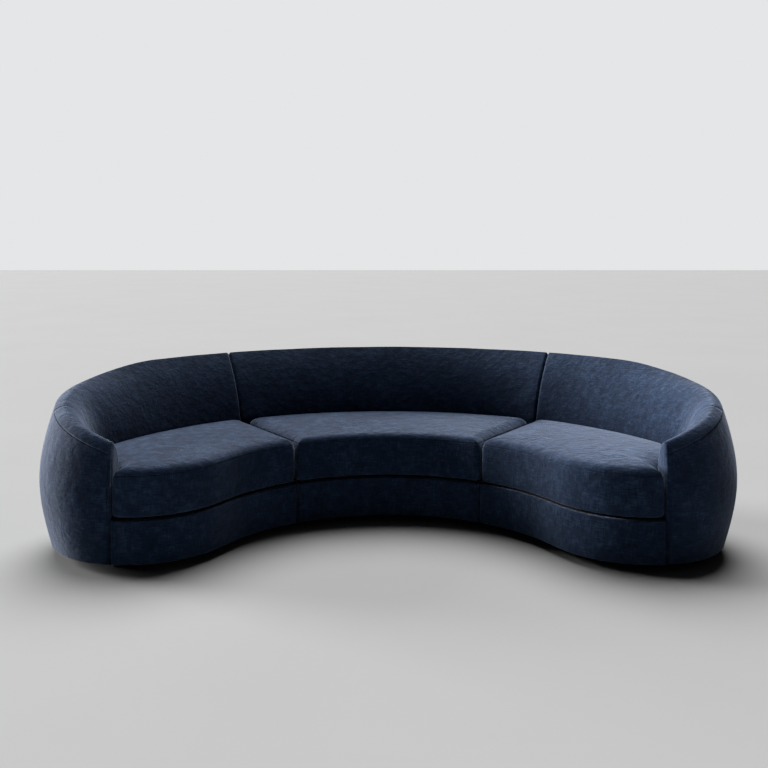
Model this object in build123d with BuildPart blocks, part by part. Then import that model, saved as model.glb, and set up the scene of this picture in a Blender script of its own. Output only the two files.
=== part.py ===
"""Curved three-piece sectional sofa, built as a frame, its padding and its loose cushions.

Millimetres, +Z up. The origin is on the floor under the middle of the sofa's box, and the
sofa faces -Y. Angles are degrees from +Y towards +X, so the right end section has positive ones.
"""
import os
from dataclasses import dataclass
from math import asin, atan2, cos, degrees, radians, sin, sqrt

from build123d import *

# Plan of the sofa: a hollow front arc, a short straight run and a round lobe at each end; the round of
# the inner wall is centred a shift behind the lobe's centre, so the arm grows thinner to its nose
FRONT_RADIUS = 787.0
FRONT_RUN = 109.0
LOBE_RADIUS = 408.0
LOBE_ANGLE = 66.3
JOINT_ANGLE = 33.0
ARM_SEAM_ANGLE = 111.0
NOSE_ANGLE = 171.0
BAY_SHIFT = 73.0

# Heights above the floor
FLOOR_GAP = 36.0
SEAT_FRAME_BOTTOM = 196.0
SEAT_HEIGHT = 427.0
CUSHION_CROWN = 440.0
BACK_HEIGHT = 760.0
ARM_HEIGHT = 502.0

# Shape of the back wall's section
FOOT_OUT = 8.0
BACK_BULGE = 60.0
NOSE_BULGE = 10.0
BACK_SPREAD = 175.0
PAD_LEAN = 14.0
BACK_CREST = -99.0
NOSE_CREST = 93.0
FULLNESS_POWER = 2.4
RIM_FALL_ANGLE = 48.7
RIM_FALL_POWER = 1.56
BACK_STATIONS = 10
ARM_STATIONS = 4

# Handles of the inner face's curve as shares: of the spread and the rise at the seat, of the spread at the rim
BACK_SEAT_HANDLE = (0.20, 0.37)
NOSE_SEAT_HANDLE = (0.03, 0.90)
BACK_RIM_HANDLE = 0.47
NOSE_RIM_HANDLE = 0.24

# Upholstery thicknesses
OUTER_PANEL = 16.0
BACK_PAD = 55.0
PAD_STEP = 60.0
RIM_SEAM_IN = 12.0
RIM_SEAM_DROP = 30.0
BASE_COVER = 15.0
COVER_DRAW = 6.0
COVER_EDGE = 12.0
DECK_PAD = 11.0
CUSHION_TOE = 26.0
CUSHION_SHOULDER = 34.0
CROWN_MARGIN = 12.5
DUST_COVER = 1.5
LINING = 3.0
END_PANEL = 6.0

# Timber, webbing and fittings
PANEL_PLY = 18.0
RAIL_PLY = 18.0
RIB_PLY = 18.0
SEAT_PLY = 18.0
SEAT_FRAME_WIDTH = 62.0
TOP_RAIL_BASE = 14.0
TOP_RAIL_CREST = 5.0
TOP_RAIL_HEIGHT = 30.0
TOP_RAIL_DROP = 75.0
STRAP_WIDTH = 50.0
STRAP = 2.5
STRAP_STEP = 7.0
FOOT_TOP_RADIUS = 32.0
FOOT_TIP_RADIUS = 27.0
FOOT_INSET = 110.0
FOOT_SWING = 5.0
SCREW_SHANK = 2.0
SCREW_HEAD = 4.2
SCREW_HEAD_DEPTH = 2.4
SCREW_LENGTH = 28.0
SCREW_WELL_RADIUS = 6.0
SCREW_WELL_DEPTH = 20.0
PLATE_WIDTH = 76.0
PLATE_TALL = 56.0
PLATE = 3.0
TONGUE_WIDTH = 34.0
TONGUE_TALL = 5.0
TONGUE_LENGTH = 42.0
CONNECTOR_HEIGHT = 125.0
CONNECTOR_FRONT = 170.0
CONNECTOR_REAR = 180.0
PLATE_SCREW_PITCH = 58.0

# Clearances
JOINT_GAP = 1.5
FIT = 0.3
SEAM_GAP = 0.6
CUSHION_ROOM = 5.0
RIB_ROOM = 1.5
DECK_ROOM = 6.0
SLOT_ROOM = 0.4

# Sizes that follow
LOBE_REACH = sqrt((FRONT_RADIUS + LOBE_RADIUS) ** 2 + FRONT_RUN ** 2)
BEND_ANGLE = LOBE_ANGLE - degrees(atan2(FRONT_RUN, FRONT_RADIUS + LOBE_RADIUS))
RIM_LOBE = LOBE_RADIUS - FOOT_OUT
RIM_RADIUS = LOBE_REACH + RIM_LOBE
LOBE_FORWARD = LOBE_REACH * cos(radians(LOBE_ANGLE)) - LOBE_RADIUS
ARC_Y = -(RIM_RADIUS + BACK_BULGE + LOBE_FORWARD) / 2
PANEL_TOP = FLOOR_GAP + PANEL_PLY
SEAT_FRAME_TOP = SEAT_FRAME_BOTTOM + SEAT_PLY
DECK_BOTTOM = SEAT_FRAME_TOP + STRAP + FIT
CUSHION_BOTTOM = DECK_BOTTOM + DECK_PAD
COVER_TOP = CUSHION_BOTTOM - COVER_DRAW
LINING_BACK = JOINT_GAP + LINING + FIT
RIB_FACE = BACK_SPREAD + PAD_LEAN - BACK_PAD
RAIL_INSET = BASE_COVER + FIT
DECK_INSET = RAIL_INSET + RAIL_PLY + FIT


def along(angle: float) -> Vector:
    """Unit vector that points out from a centre at an angle."""
    return Vector(sin(radians(angle)), cos(radians(angle)))


def across(angle: float) -> Vector:
    """Unit vector square to along(angle), towards larger angles."""
    return Vector(cos(radians(angle)), -sin(radians(angle)))


ARC_CENTRE = Vector(0, ARC_Y)
LOBE_CENTRE = ARC_CENTRE + along(LOBE_ANGLE) * LOBE_REACH
BAY_CENTRE = LOBE_CENTRE - along(LOBE_ANGLE) * BAY_SHIFT
NOSE_SHIFT = BAY_SHIFT * sin(radians(NOSE_ANGLE - LOBE_ANGLE))


def ray_point(centre: Vector, angle: float, radius: float, offset: float = 0) -> Vector:
    """Point at a radius from a centre, offset sideways from the ray at an angle."""
    return centre + along(angle) * sqrt(radius ** 2 - offset ** 2) + across(angle) * offset


def swing(angle: float, radius: float, offset: float) -> float:
    """Angle of the point that ray_point gives."""
    return angle + degrees(asin(offset / radius))


def arc(centre: Vector, radius: float, start: float, end: float) -> Edge:
    """Arc about a centre between two angles."""
    middle = (start + end) / 2
    return ThreePointArc(
        ray_point(centre, start, radius), ray_point(centre, middle, radius), ray_point(centre, end, radius)
    )


def end_seat(height: float, inset: float, wall: float, joint: float, nose: float) -> Sketch:
    """Outline of the right end's seat: front, nose, inner wall and joint, each drawn in.

    wall is how far the inner wall stands inside the rim at the back; joint and nose are the
    offsets from the joint plane and from the nose plane.
    """
    front = FRONT_RADIUS + inset
    lobe = LOBE_RADIUS - inset
    bay = RIM_LOBE - wall - inset
    sweep = bay + BAY_SHIFT
    with BuildSketch(Plane.XY.offset(height)) as outline:
        with BuildLine():
            hollow = arc(ARC_CENTRE, front, swing(JOINT_ANGLE, front, joint), BEND_ANGLE)
            curve = arc(LOBE_CENTRE, lobe, BEND_ANGLE + 180, swing(NOSE_ANGLE, lobe, nose))
            Line(hollow @ 1, curve @ 0)
            corner = arc(BAY_CENTRE, sweep, swing(NOSE_ANGLE, sweep, nose - NOSE_SHIFT), LOBE_ANGLE)
            Line(curve @ 1, corner @ 0)
            back = arc(ARC_CENTRE, LOBE_REACH + bay, LOBE_ANGLE, swing(JOINT_ANGLE, LOBE_REACH + bay, joint))
            Line(back @ 1, hollow @ 0)
        make_face()
    return outline.sketch


def centre_seat(height: float, inset: float, wall: float, joint: float) -> Sketch:
    """Outline of the centre section's seat, drawn in as end_seat is."""
    front = FRONT_RADIUS + inset
    rear = RIM_RADIUS - wall - inset
    front_swing = swing(JOINT_ANGLE, front, -joint)
    rear_swing = swing(JOINT_ANGLE, rear, -joint)
    with BuildSketch(Plane.XY.offset(height)) as outline:
        with BuildLine():
            hollow = arc(ARC_CENTRE, front, -front_swing, front_swing)
            back = arc(ARC_CENTRE, rear, rear_swing, -rear_swing)
            Line(hollow @ 1, back @ 0)
            Line(back @ 1, hollow @ 0)
        make_face()
    return outline.sketch


def end_floor(height: float, inset: float, joint: float) -> Sketch:
    """Outline of the right end's whole plan at its foot, drawn in by an inset."""
    front = FRONT_RADIUS + inset
    lobe = LOBE_RADIUS - inset
    with BuildSketch(Plane.XY.offset(height)) as outline:
        with BuildLine():
            hollow = arc(ARC_CENTRE, front, swing(JOINT_ANGLE, front, joint), BEND_ANGLE)
            nose = arc(LOBE_CENTRE, lobe, BEND_ANGLE + 180, NOSE_ANGLE)
            Line(hollow @ 1, nose @ 0)
            side = arc(LOBE_CENTRE, lobe, NOSE_ANGLE, LOBE_ANGLE)
            rear = LOBE_REACH + lobe
            back = arc(ARC_CENTRE, rear, LOBE_ANGLE, swing(JOINT_ANGLE, rear, joint))
            Line(back @ 1, hollow @ 0)
        make_face()
    return outline.sketch


def end_band(height: float, outer: float, inner: float, joint: float, nose: float) -> Sketch:
    """Strip along the right end's front between two insets, from the joint to the nose."""
    with BuildSketch(Plane.XY.offset(height)) as strip:
        with BuildLine():
            rims = []
            for inset in (outer, inner):
                front = FRONT_RADIUS + inset
                lobe = LOBE_RADIUS - inset
                hollow = arc(ARC_CENTRE, front, swing(JOINT_ANGLE, front, joint), BEND_ANGLE)
                curve = arc(LOBE_CENTRE, lobe, BEND_ANGLE + 180, swing(NOSE_ANGLE, lobe, nose))
                Line(hollow @ 1, curve @ 0)
                rims.append((hollow @ 0, curve @ 1))
            Line(rims[0][0], rims[1][0])
            Line(rims[0][1], rims[1][1])
        make_face()
    return strip.sketch


def centre_band(height: float, outer: float, inner: float, joint: float) -> Sketch:
    """Strip along the centre section's front between two insets."""
    with BuildSketch(Plane.XY.offset(height)) as strip:
        with BuildLine():
            rims = []
            for inset in (outer, inner):
                front = FRONT_RADIUS + inset
                reach = swing(JOINT_ANGLE, front, -joint)
                rims.append(arc(ARC_CENTRE, front, -reach, reach))
            Line(rims[0] @ 0, rims[1] @ 0)
            Line(rims[0] @ 1, rims[1] @ 1)
        make_face()
    return strip.sketch


def spokes(height: float, angles: list, width: float) -> Sketch:
    """Long strips that run out from the arc's centre at the given angles."""
    with BuildSketch(Plane.XY.offset(height)) as strips:
        for angle in angles:
            middle = ARC_CENTRE + along(angle) * RIM_RADIUS / 2
            with Locations(Location((middle.X, middle.Y), 90 - angle)):
                Rectangle(RIM_RADIUS, width)
    return strips.sketch


def spread(start: float, end: float, count: int) -> list:
    """Evenly spaced values from start to end."""
    return [start + (end - start) * step / (count - 1) for step in range(count)]


@dataclass
class Station:
    """One upright cut through the back wall, square to the way the wall runs."""

    plane: Plane
    rim: float
    height: float
    bulge: float
    spread: float
    fall: float
    slope: float
    taper: float


def wall_run(angle: float) -> float:
    """Length of the rim from the middle of the back to an angle along the wall."""
    main = min(angle, LOBE_ANGLE)
    return RIM_RADIUS * radians(main) + RIM_LOBE * radians(angle - main)


def wall_angles(start: float, end: float, count: int) -> list:
    """Angles of cuts that stand evenly along the wall from one angle to another."""
    turn = RIM_RADIUS * radians(LOBE_ANGLE)
    angles = []
    for run in spread(wall_run(start), wall_run(end), count):
        on_lobe = max(run - turn, 0)
        angles.append(degrees((run - on_lobe) / RIM_RADIUS + on_lobe / RIM_LOBE))
    return angles


def rim_fall(angle: float) -> float:
    """How far the rim has fallen towards the arm's height, from 0 to 1."""
    start = wall_run(RIM_FALL_ANGLE)
    share = (wall_run(angle) - start) / (wall_run(NOSE_ANGLE) - start)
    return max(share, 0) ** RIM_FALL_POWER


def wall_spread(angle: float) -> float:
    """How far the inner face stands inside the rim at seat height."""
    turn = radians(max(angle - LOBE_ANGLE, 0))
    sweep = RIM_LOBE - BACK_SPREAD + BAY_SHIFT
    return RIM_LOBE + BAY_SHIFT * cos(turn) - sqrt(sweep ** 2 - (BAY_SHIFT * sin(turn)) ** 2)


def station(angle: float, offset: float = 0) -> Station:
    """Cut through the wall at an angle; past the lobe's angle the lobe's centre counts."""
    on_lobe = angle > LOBE_ANGLE
    centre = LOBE_CENTRE if on_lobe else ARC_CENTRE
    turn = max(angle - LOBE_ANGLE, 0) / (NOSE_ANGLE - LOBE_ANGLE)
    fall = rim_fall(angle)
    drop = BACK_HEIGHT - ARM_HEIGHT
    step = 0.5
    length = wall_run(angle + step) - wall_run(angle)
    slope = drop * (rim_fall(angle + step) - fall) / length
    taper = (wall_spread(angle) - wall_spread(angle + step)) / length
    return Station(
        plane=Plane(origin=centre + across(angle) * offset, x_dir=along(angle), z_dir=across(angle)),
        rim=RIM_LOBE if on_lobe else RIM_RADIUS,
        height=BACK_HEIGHT - drop * fall,
        bulge=BACK_BULGE + (NOSE_BULGE - BACK_BULGE) * turn ** 2,
        spread=wall_spread(angle),
        fall=fall,
        slope=slope,
        taper=taper,
    )


def outer_points(cut: Station, depth: float) -> tuple:
    """Foot, widest and top points of the outer face, or of the face that lies depth inside it."""
    middle = (cut.height + FLOOR_GAP) / 2
    top = (cut.rim, cut.height)
    if depth:
        top = (cut.rim - RIM_SEAM_IN, cut.height - RIM_SEAM_DROP)
    return (cut.rim + FOOT_OUT - depth, FLOOR_GAP), (cut.rim + cut.bulge - depth, middle), top


def outer_reach(cut: Station, depth: float, level: float) -> float:
    """Distance out to the outer_points face at a level."""
    (x1, z1), (x2, z2), (x3, z3) = outer_points(cut, depth)
    span = 2 * (x1 * (z2 - z3) + x2 * (z3 - z1) + x3 * (z1 - z2))
    far1, far2, far3 = x1 ** 2 + z1 ** 2, x2 ** 2 + z2 ** 2, x3 ** 2 + z3 ** 2
    mid_x = (far1 * (z2 - z3) + far2 * (z3 - z1) + far3 * (z1 - z2)) / span
    mid_z = (far1 * (x3 - x2) + far2 * (x1 - x3) + far3 * (x2 - x1)) / span
    radius = sqrt((x1 - mid_x) ** 2 + (z1 - mid_z) ** 2)
    return mid_x + sqrt(radius ** 2 - (level - mid_z) ** 2)


def blend(start: float, end: float, share: float) -> float:
    """Value that lies a share of the way from start to end."""
    return start + (end - start) * share


def rib_face(cut: Station) -> float:
    """How far the inner pad's back stands inside the rim."""
    return cut.spread + PAD_LEAN - BACK_PAD


def rib_depth(cut: Station) -> float:
    """How far a rib reaches in from the rim; it clears the pad where the arm grows thinner."""
    return rib_face(cut) - cut.taper * RIB_PLY


def pad_face(cut: Station, gap: float) -> tuple:
    """Control points of the inner face's curve from the seat to the rim.

    The back leans and is nearly straight; the lower the rim has fallen, the fuller the arm's top is.
    """
    full = 1 - (1 - cut.fall) ** FULLNESS_POWER
    low = Vector(cut.rim - cut.spread, SEAT_HEIGHT)
    high = Vector(cut.rim - gap, cut.height)
    in_share, up_share = (blend(*ends, full) for ends in zip(BACK_SEAT_HANDLE, NOSE_SEAT_HANDLE))
    rise = Vector(cut.spread * in_share, (cut.height - SEAT_HEIGHT) * up_share)
    reach = cut.spread * blend(BACK_RIM_HANDLE, NOSE_RIM_HANDLE, cut.fall ** 2)
    crest = Vector(-reach, blend(BACK_CREST, NOSE_CREST, full))
    return low, low + rise, high + crest, high


def outer_section(cut: Station) -> Sketch:
    """Section of the padded outer panel."""
    with BuildSketch(cut.plane) as section:
        with BuildLine():
            face = ThreePointArc(*outer_points(cut, 0))
            back = ThreePointArc(*outer_points(cut, OUTER_PANEL))
            Line(face @ 1, back @ 1)
            Line(back @ 0, face @ 0)
        make_face()
    return section.sketch


def pad_section(cut: Station) -> Sketch:
    """Section of the padded inner back or arm."""
    bottom = DECK_BOTTOM
    bend = SEAT_HEIGHT - PAD_STEP
    face = pad_face(cut, SEAM_GAP)
    toe = Vector(cut.rim - cut.spread - PAD_LEAN, bottom)
    inner = cut.rim - rib_face(cut)
    tuck = Vector(cut.rim - RIM_SEAM_IN - SEAM_GAP, cut.height - RIM_SEAM_DROP)
    with BuildSketch(cut.plane) as section:
        with BuildLine():
            Line(toe, face[0])
            Bezier(*face)
            Line(face[-1], tuck)
            Line(tuck, (inner, bend))
            Line((inner, bend), (inner, bottom))
            Line((inner, bottom), toe)
        make_face()
    return section.sketch


def rib_section(cut: Station) -> Sketch:
    """Section of a rib: it stands on the base panel and fills the wall between its pads."""
    low = PANEL_TOP + FIT
    bend = SEAT_HEIGHT - PAD_STEP
    high = cut.height - TOP_RAIL_DROP - FIT - abs(cut.slope) * RIB_PLY / 2
    depth = rib_depth(cut)
    inner = cut.rim - depth + RIB_ROOM
    tuck = Vector(cut.rim - RIM_SEAM_IN, cut.height - RIM_SEAM_DROP)
    share = (high - bend) / (tuck.Y - bend)
    inner_top = inner + (tuck.X - cut.rim + depth) * share + RIB_ROOM
    edge = [(outer_reach(cut, OUTER_PANEL, level) - RIB_ROOM, level) for level in spread(low, high, 3)]
    with BuildSketch(cut.plane) as section:
        with BuildLine():
            ThreePointArc(*edge)
            Polyline(edge[2], (inner_top, high), (inner, bend), (inner, low), edge[0])
        make_face()
    return section.sketch


def top_rail_section(cut: Station) -> Sketch:
    """Section of the rail that runs along the tops of the ribs."""
    low = cut.height - TOP_RAIL_DROP
    high = low + TOP_RAIL_HEIGHT
    low_edge = outer_reach(cut, OUTER_PANEL, low) - 4 * FIT
    high_edge = outer_reach(cut, OUTER_PANEL, high) - 4 * FIT
    with BuildSketch(cut.plane) as section:
        with BuildLine():
            Polyline(
                (low_edge, low),
                (high_edge, high),
                (high_edge - TOP_RAIL_CREST, high),
                (low_edge - TOP_RAIL_BASE, low),
                close=True,
            )
        make_face()
    return section.sketch


def lining_section(cut: Station) -> Sketch:
    """Section of the board that closes the frame's open end between the pads."""
    front = FRONT_RADIUS + RAIL_INSET
    low = PANEL_TOP + FIT
    bend = SEAT_HEIGHT - PAD_STEP
    tuck = (cut.rim - RIM_SEAM_IN - 2 * FIT, cut.height - RIM_SEAM_DROP - 4 * FIT)
    levels = spread(low, tuck[1], 3)
    edge = [(outer_reach(cut, OUTER_PANEL, level) - 2 * FIT, level) for level in levels[:2]]
    inner = cut.rim - RIB_FACE + 2 * FIT
    with BuildSketch(cut.plane) as section:
        with BuildLine():
            ThreePointArc(edge[0], edge[1], tuck)
            Polyline(
                tuck, (inner, bend), (inner, SEAT_FRAME_TOP), (front, SEAT_FRAME_TOP), (front, low), edge[0]
            )
        make_face()
    return section.sketch


def end_panel_section(cut: Station) -> Sketch:
    """Section of the panel that closes the arm's end beside the cushion."""
    face = pad_face(cut, 0)
    foot, bulge, rim = outer_points(cut, 0)
    floor = PANEL_TOP + FIT
    sill = DECK_BOTTOM
    edge = (outer_reach(cut, 0, floor), floor)
    toe = (cut.rim - cut.spread - PAD_LEAN, sill)
    heel = cut.rim - rib_depth(cut) + FIT
    with BuildSketch(cut.plane) as section:
        with BuildLine():
            ThreePointArc(edge, bulge, rim)
            Bezier(*face)
            Polyline(face[0], toe, (heel, sill), (heel, floor), edge)
        make_face()
    return section.sketch


def mirrored(piece: Part) -> Part:
    """The same piece on the left of the sofa."""
    with BuildPart() as other:
        mirror(piece, about=Plane.YZ)
    return other.part


RIGHT_START = station(JOINT_ANGLE, JOINT_GAP)
BACK_ANGLES = wall_angles(JOINT_ANGLE, ARM_SEAM_ANGLE, BACK_STATIONS)[1:]
ARM_ANGLES = wall_angles(ARM_SEAM_ANGLE, NOSE_ANGLE, ARM_STATIONS)
back_cuts = [RIGHT_START] + [station(angle) for angle in BACK_ANGLES]
arm_cuts = [station(angle) for angle in ARM_ANGLES]
GAP_SWING = degrees(asin(JOINT_GAP / FRONT_RADIUS))
CENTRE_SWING = JOINT_ANGLE - GAP_SWING
centre_cut = station(-CENTRE_SWING)
ARC_AXIS = Axis((0, ARC_Y, 0), (0, 0, -1))

# Cushion form: the height of each outline and how far it is drawn in; the crown begins where the
# outline, drawn in from the nose and from the bay beside it, still keeps a margin between the two
CUSHION_WALL = BACK_SPREAD + PAD_LEAN + CUSHION_ROOM
CUSHION_JOINT = JOINT_GAP + CUSHION_ROOM / 2
CUSHION_NOSE = END_PANEL + CUSHION_ROOM
CUSHION_RISE = (RIM_LOBE - CUSHION_WALL - CUSHION_NOSE) / 2 - CROWN_MARGIN
CUSHION_BELLY = (CUSHION_BOTTOM + SEAT_HEIGHT) / 2
CUSHION_FORM = [
    (CUSHION_BOTTOM + FIT, CUSHION_TOE),
    (CUSHION_BOTTOM + CUSHION_TOE / 2, CUSHION_TOE / 4),
    (CUSHION_BOTTOM + CUSHION_TOE * 1.5, CUSHION_TOE / 40),
    (CUSHION_BELLY, 0.0),
    (SEAT_HEIGHT - CUSHION_SHOULDER * 1.5, CUSHION_SHOULDER / 40),
    (SEAT_HEIGHT - CUSHION_SHOULDER / 2, CUSHION_SHOULDER / 4),
    (SEAT_HEIGHT, CUSHION_SHOULDER),
    ((2 * CUSHION_CROWN + SEAT_HEIGHT) / 3, (CUSHION_RISE + CUSHION_SHOULDER) / 2),
    (CUSHION_CROWN, CUSHION_RISE),
]

# Seat cushions
with BuildPart() as right_seat_cushion:
    loft(
        sections=[
            end_seat(level, draw, CUSHION_WALL, CUSHION_JOINT + draw, CUSHION_NOSE + draw)
            for level, draw in CUSHION_FORM
        ]
    )

with BuildPart() as centre_seat_cushion:
    loft(
        sections=[
            centre_seat(level, draw, CUSHION_WALL, CUSHION_JOINT + draw) for level, draw in CUSHION_FORM
        ]
    )

# Padded back and arm
with BuildPart() as right_back_pad:
    loft(sections=[pad_section(cut) for cut in back_cuts])

with BuildPart() as right_arm_pad:
    loft(sections=[pad_section(cut) for cut in [station(ARM_SEAM_ANGLE, SEAM_GAP)] + arm_cuts[1:]])

with BuildPart() as centre_back_pad:
    revolve(pad_section(centre_cut), axis=ARC_AXIS, revolution_arc=2 * CENTRE_SWING)

with BuildPart() as right_outer_panel:
    loft(sections=[outer_section(cut) for cut in back_cuts + arm_cuts[1:]])

with BuildPart() as centre_outer_panel:
    revolve(outer_section(centre_cut), axis=ARC_AXIS, revolution_arc=2 * CENTRE_SWING)

with BuildPart() as right_arm_end_panel:
    extrude(end_panel_section(station(NOSE_ANGLE, FIT)), amount=END_PANEL)

# Padded band below the cushions, drawn in along its top and bottom edges
COVER_FORM = [
    (FLOOR_GAP, COVER_DRAW),
    (FLOOR_GAP + COVER_EDGE, 0.0),
    (COVER_TOP - COVER_EDGE, 0.0),
    (COVER_TOP, COVER_DRAW),
]
COVER_NOSE = END_PANEL + 2 * FIT
with BuildPart() as right_base_cover:
    loft(
        sections=[end_band(level, draw, BASE_COVER, JOINT_GAP, COVER_NOSE) for level, draw in COVER_FORM],
        ruled=True,
    )

with BuildPart() as centre_base_cover:
    loft(
        sections=[centre_band(level, draw, BASE_COVER, JOINT_GAP) for level, draw in COVER_FORM], ruled=True
    )

# Screws, one size for the feet and the connectors; each drives towards local +Z from its head
with BuildPart() as screw:
    with BuildSketch(Plane.XZ):
        with BuildLine():
            Polyline(
                (0, 0),
                (SCREW_HEAD, 0),
                (SCREW_SHANK, SCREW_HEAD_DEPTH),
                (SCREW_SHANK, SCREW_LENGTH - SCREW_SHANK),
                (0, SCREW_LENGTH),
                close=True,
            )
        make_face()
    revolve(axis=Axis.Z)

# Feet: tapered blocks under the base panel, each with a well for its screw
FOOT_HEIGHT = FLOOR_GAP - DUST_COVER
with BuildPart() as foot:
    with BuildSketch():
        Circle(FOOT_TIP_RADIUS)
    with BuildSketch(Plane.XY.offset(FOOT_HEIGHT)):
        Circle(FOOT_TOP_RADIUS)
    loft(ruled=True)
    with BuildSketch():
        Circle(SCREW_WELL_RADIUS)
    extrude(amount=SCREW_WELL_DEPTH, mode=Mode.SUBTRACT)
    with BuildSketch(Plane.XY.offset(SCREW_WELL_DEPTH)):
        Circle(SCREW_SHANK + FIT)
    extrude(amount=FOOT_HEIGHT - SCREW_WELL_DEPTH, mode=Mode.SUBTRACT)

FOOT_FRONT = FRONT_RADIUS + FOOT_INSET
FOOT_REAR = RIM_RADIUS + FOOT_OUT - FOOT_INSET
FOOT_LOBE = LOBE_RADIUS - FOOT_INSET
right_feet_at = [
    ray_point(ARC_CENTRE, JOINT_ANGLE + FOOT_SWING, FOOT_FRONT),
    ray_point(ARC_CENTRE, JOINT_ANGLE + FOOT_SWING, FOOT_REAR),
    ray_point(ARC_CENTRE, LOBE_ANGLE, FOOT_REAR),
    ray_point(LOBE_CENTRE, ARM_SEAM_ANGLE, FOOT_LOBE),
    ray_point(LOBE_CENTRE, BEND_ANGLE + 180 - FOOT_SWING, FOOT_LOBE),
    ray_point(LOBE_CENTRE, NOSE_ANGLE, FOOT_LOBE),
]
centre_feet_at = [
    ray_point(ARC_CENTRE, side * (JOINT_ANGLE - FOOT_SWING), reach)
    for side in (-1, 1)
    for reach in (FOOT_FRONT, FOOT_REAR)
]

# Connectors: a tongue plate on the end section, a socket plate on the centre section
CONNECTOR_REACHES = [FRONT_RADIUS + CONNECTOR_FRONT, RIM_RADIUS - RIB_FACE - CONNECTOR_REAR]


def joint_face(offset: float) -> Plane:
    """Upright plane beside the right joint; its normal points into the end section."""
    return Plane(
        origin=ARC_CENTRE + across(JOINT_ANGLE) * offset, x_dir=along(JOINT_ANGLE), z_dir=across(JOINT_ANGLE)
    )


def connector_blocks(offset: float, width: float, tall: float) -> Sketch:
    """A rectangle at each connector of the right joint."""
    with BuildSketch(joint_face(offset)) as blocks:
        with Locations(*[(reach, CONNECTOR_HEIGHT) for reach in CONNECTOR_REACHES]):
            Rectangle(width, tall)
    return blocks.sketch


def plate_screw_places(offset: float, reverse: bool) -> list:
    """Planes of the right joint's plate screws, with their normals the way the screws drive."""
    normal = across(JOINT_ANGLE) * (-1 if reverse else 1)
    return [
        Plane(
            origin=joint_face(offset).from_local_coords(
                Vector(reach + side * PLATE_SCREW_PITCH / 2, CONNECTOR_HEIGHT)
            ),
            x_dir=along(JOINT_ANGLE),
            z_dir=normal,
        )
        for reach in CONNECTOR_REACHES
        for side in (-1, 1)
    ]


def plate_holes(offset: float, reverse: bool) -> Part:
    """Countersunk holes for the right joint's plate screws, run on into the rail behind."""
    with BuildPart() as holes:
        for place in plate_screw_places(offset, reverse):
            with BuildSketch(place):
                Circle(SCREW_HEAD + FIT)
            with BuildSketch(place.offset(SCREW_HEAD_DEPTH)):
                Circle(SCREW_SHANK + FIT)
            loft(ruled=True)
            with BuildSketch(place):
                Circle(SCREW_SHANK + FIT)
            extrude(amount=SCREW_LENGTH + FIT)
    return holes.part


right_plate_holes = plate_holes(JOINT_GAP, reverse=False)
centre_plate_holes = plate_holes(-JOINT_GAP, reverse=True)

with BuildPart() as right_connector_tongues:
    extrude(connector_blocks(JOINT_GAP, PLATE_WIDTH, PLATE_TALL), amount=PLATE)
    extrude(connector_blocks(JOINT_GAP, TONGUE_WIDTH, TONGUE_TALL), amount=-TONGUE_LENGTH)
    add(right_plate_holes, mode=Mode.SUBTRACT)

SLOT_WIDTH = TONGUE_WIDTH + 2 * SLOT_ROOM
SLOT_TALL = TONGUE_TALL + 2 * SLOT_ROOM
with BuildPart() as centre_connector_socket:
    extrude(connector_blocks(-JOINT_GAP, PLATE_WIDTH, PLATE_TALL), amount=-PLATE)
    extrude(connector_blocks(-JOINT_GAP, SLOT_WIDTH, SLOT_TALL), amount=-PLATE, mode=Mode.SUBTRACT)
    add(centre_plate_holes, mode=Mode.SUBTRACT)

with BuildPart() as centre_connector_sockets:
    add(centre_connector_socket.part)
    mirror(centre_connector_socket.part, about=Plane.YZ)

FOOT_SCREW_BASE = SCREW_WELL_DEPTH - SCREW_HEAD_DEPTH - FIT
with BuildPart() as right_screws:
    with Locations(*[Location((spot.X, spot.Y, FOOT_SCREW_BASE)) for spot in right_feet_at]):
        add(screw.part)
    with Locations(*plate_screw_places(JOINT_GAP, reverse=False)):
        add(screw.part)

with BuildPart() as centre_right_plate_screws:
    with Locations(*plate_screw_places(-JOINT_GAP, reverse=True)):
        add(screw.part)

with BuildPart() as centre_screws:
    with Locations(*[Location((spot.X, spot.Y, FOOT_SCREW_BASE)) for spot in centre_feet_at]):
        add(screw.part)
    add(centre_right_plate_screws.part)
    mirror(centre_right_plate_screws.part, about=Plane.YZ)

with BuildPart() as right_feet:
    with Locations(*[Location((spot.X, spot.Y, 0)) for spot in right_feet_at]):
        add(foot.part)

with BuildPart() as centre_feet:
    with Locations(*[Location((spot.X, spot.Y, 0)) for spot in centre_feet_at]):
        add(foot.part)

# Base panels and the dust covers below them, drilled for the foot screws
FLOOR_INSET = max(BASE_COVER, OUTER_PANEL) + FIT
SCREW_HOLE = SCREW_SHANK + FIT


def centre_floor(height: float) -> Sketch:
    """Outline of the centre section's base panel."""
    return centre_seat(height, FLOOR_INSET, -FOOT_OUT, JOINT_GAP)


with BuildPart() as right_base_panel:
    extrude(end_floor(FLOOR_GAP, FLOOR_INSET, JOINT_GAP), amount=PANEL_PLY)
    with BuildSketch(Plane.XY.offset(FLOOR_GAP)):
        with Locations(*right_feet_at):
            Circle(SCREW_HOLE)
    extrude(amount=PANEL_PLY, mode=Mode.SUBTRACT)

with BuildPart() as centre_base_panel:
    extrude(centre_floor(FLOOR_GAP), amount=PANEL_PLY)
    with BuildSketch(Plane.XY.offset(FLOOR_GAP)):
        with Locations(*centre_feet_at):
            Circle(SCREW_HOLE)
    extrude(amount=PANEL_PLY, mode=Mode.SUBTRACT)

with BuildPart() as right_dust_cover:
    extrude(end_floor(FOOT_HEIGHT, FLOOR_INSET, JOINT_GAP), amount=DUST_COVER)
    with BuildSketch(Plane.XY.offset(FOOT_HEIGHT)):
        with Locations(*right_feet_at):
            Circle(SCREW_HOLE)
    extrude(amount=DUST_COVER, mode=Mode.SUBTRACT)

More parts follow.
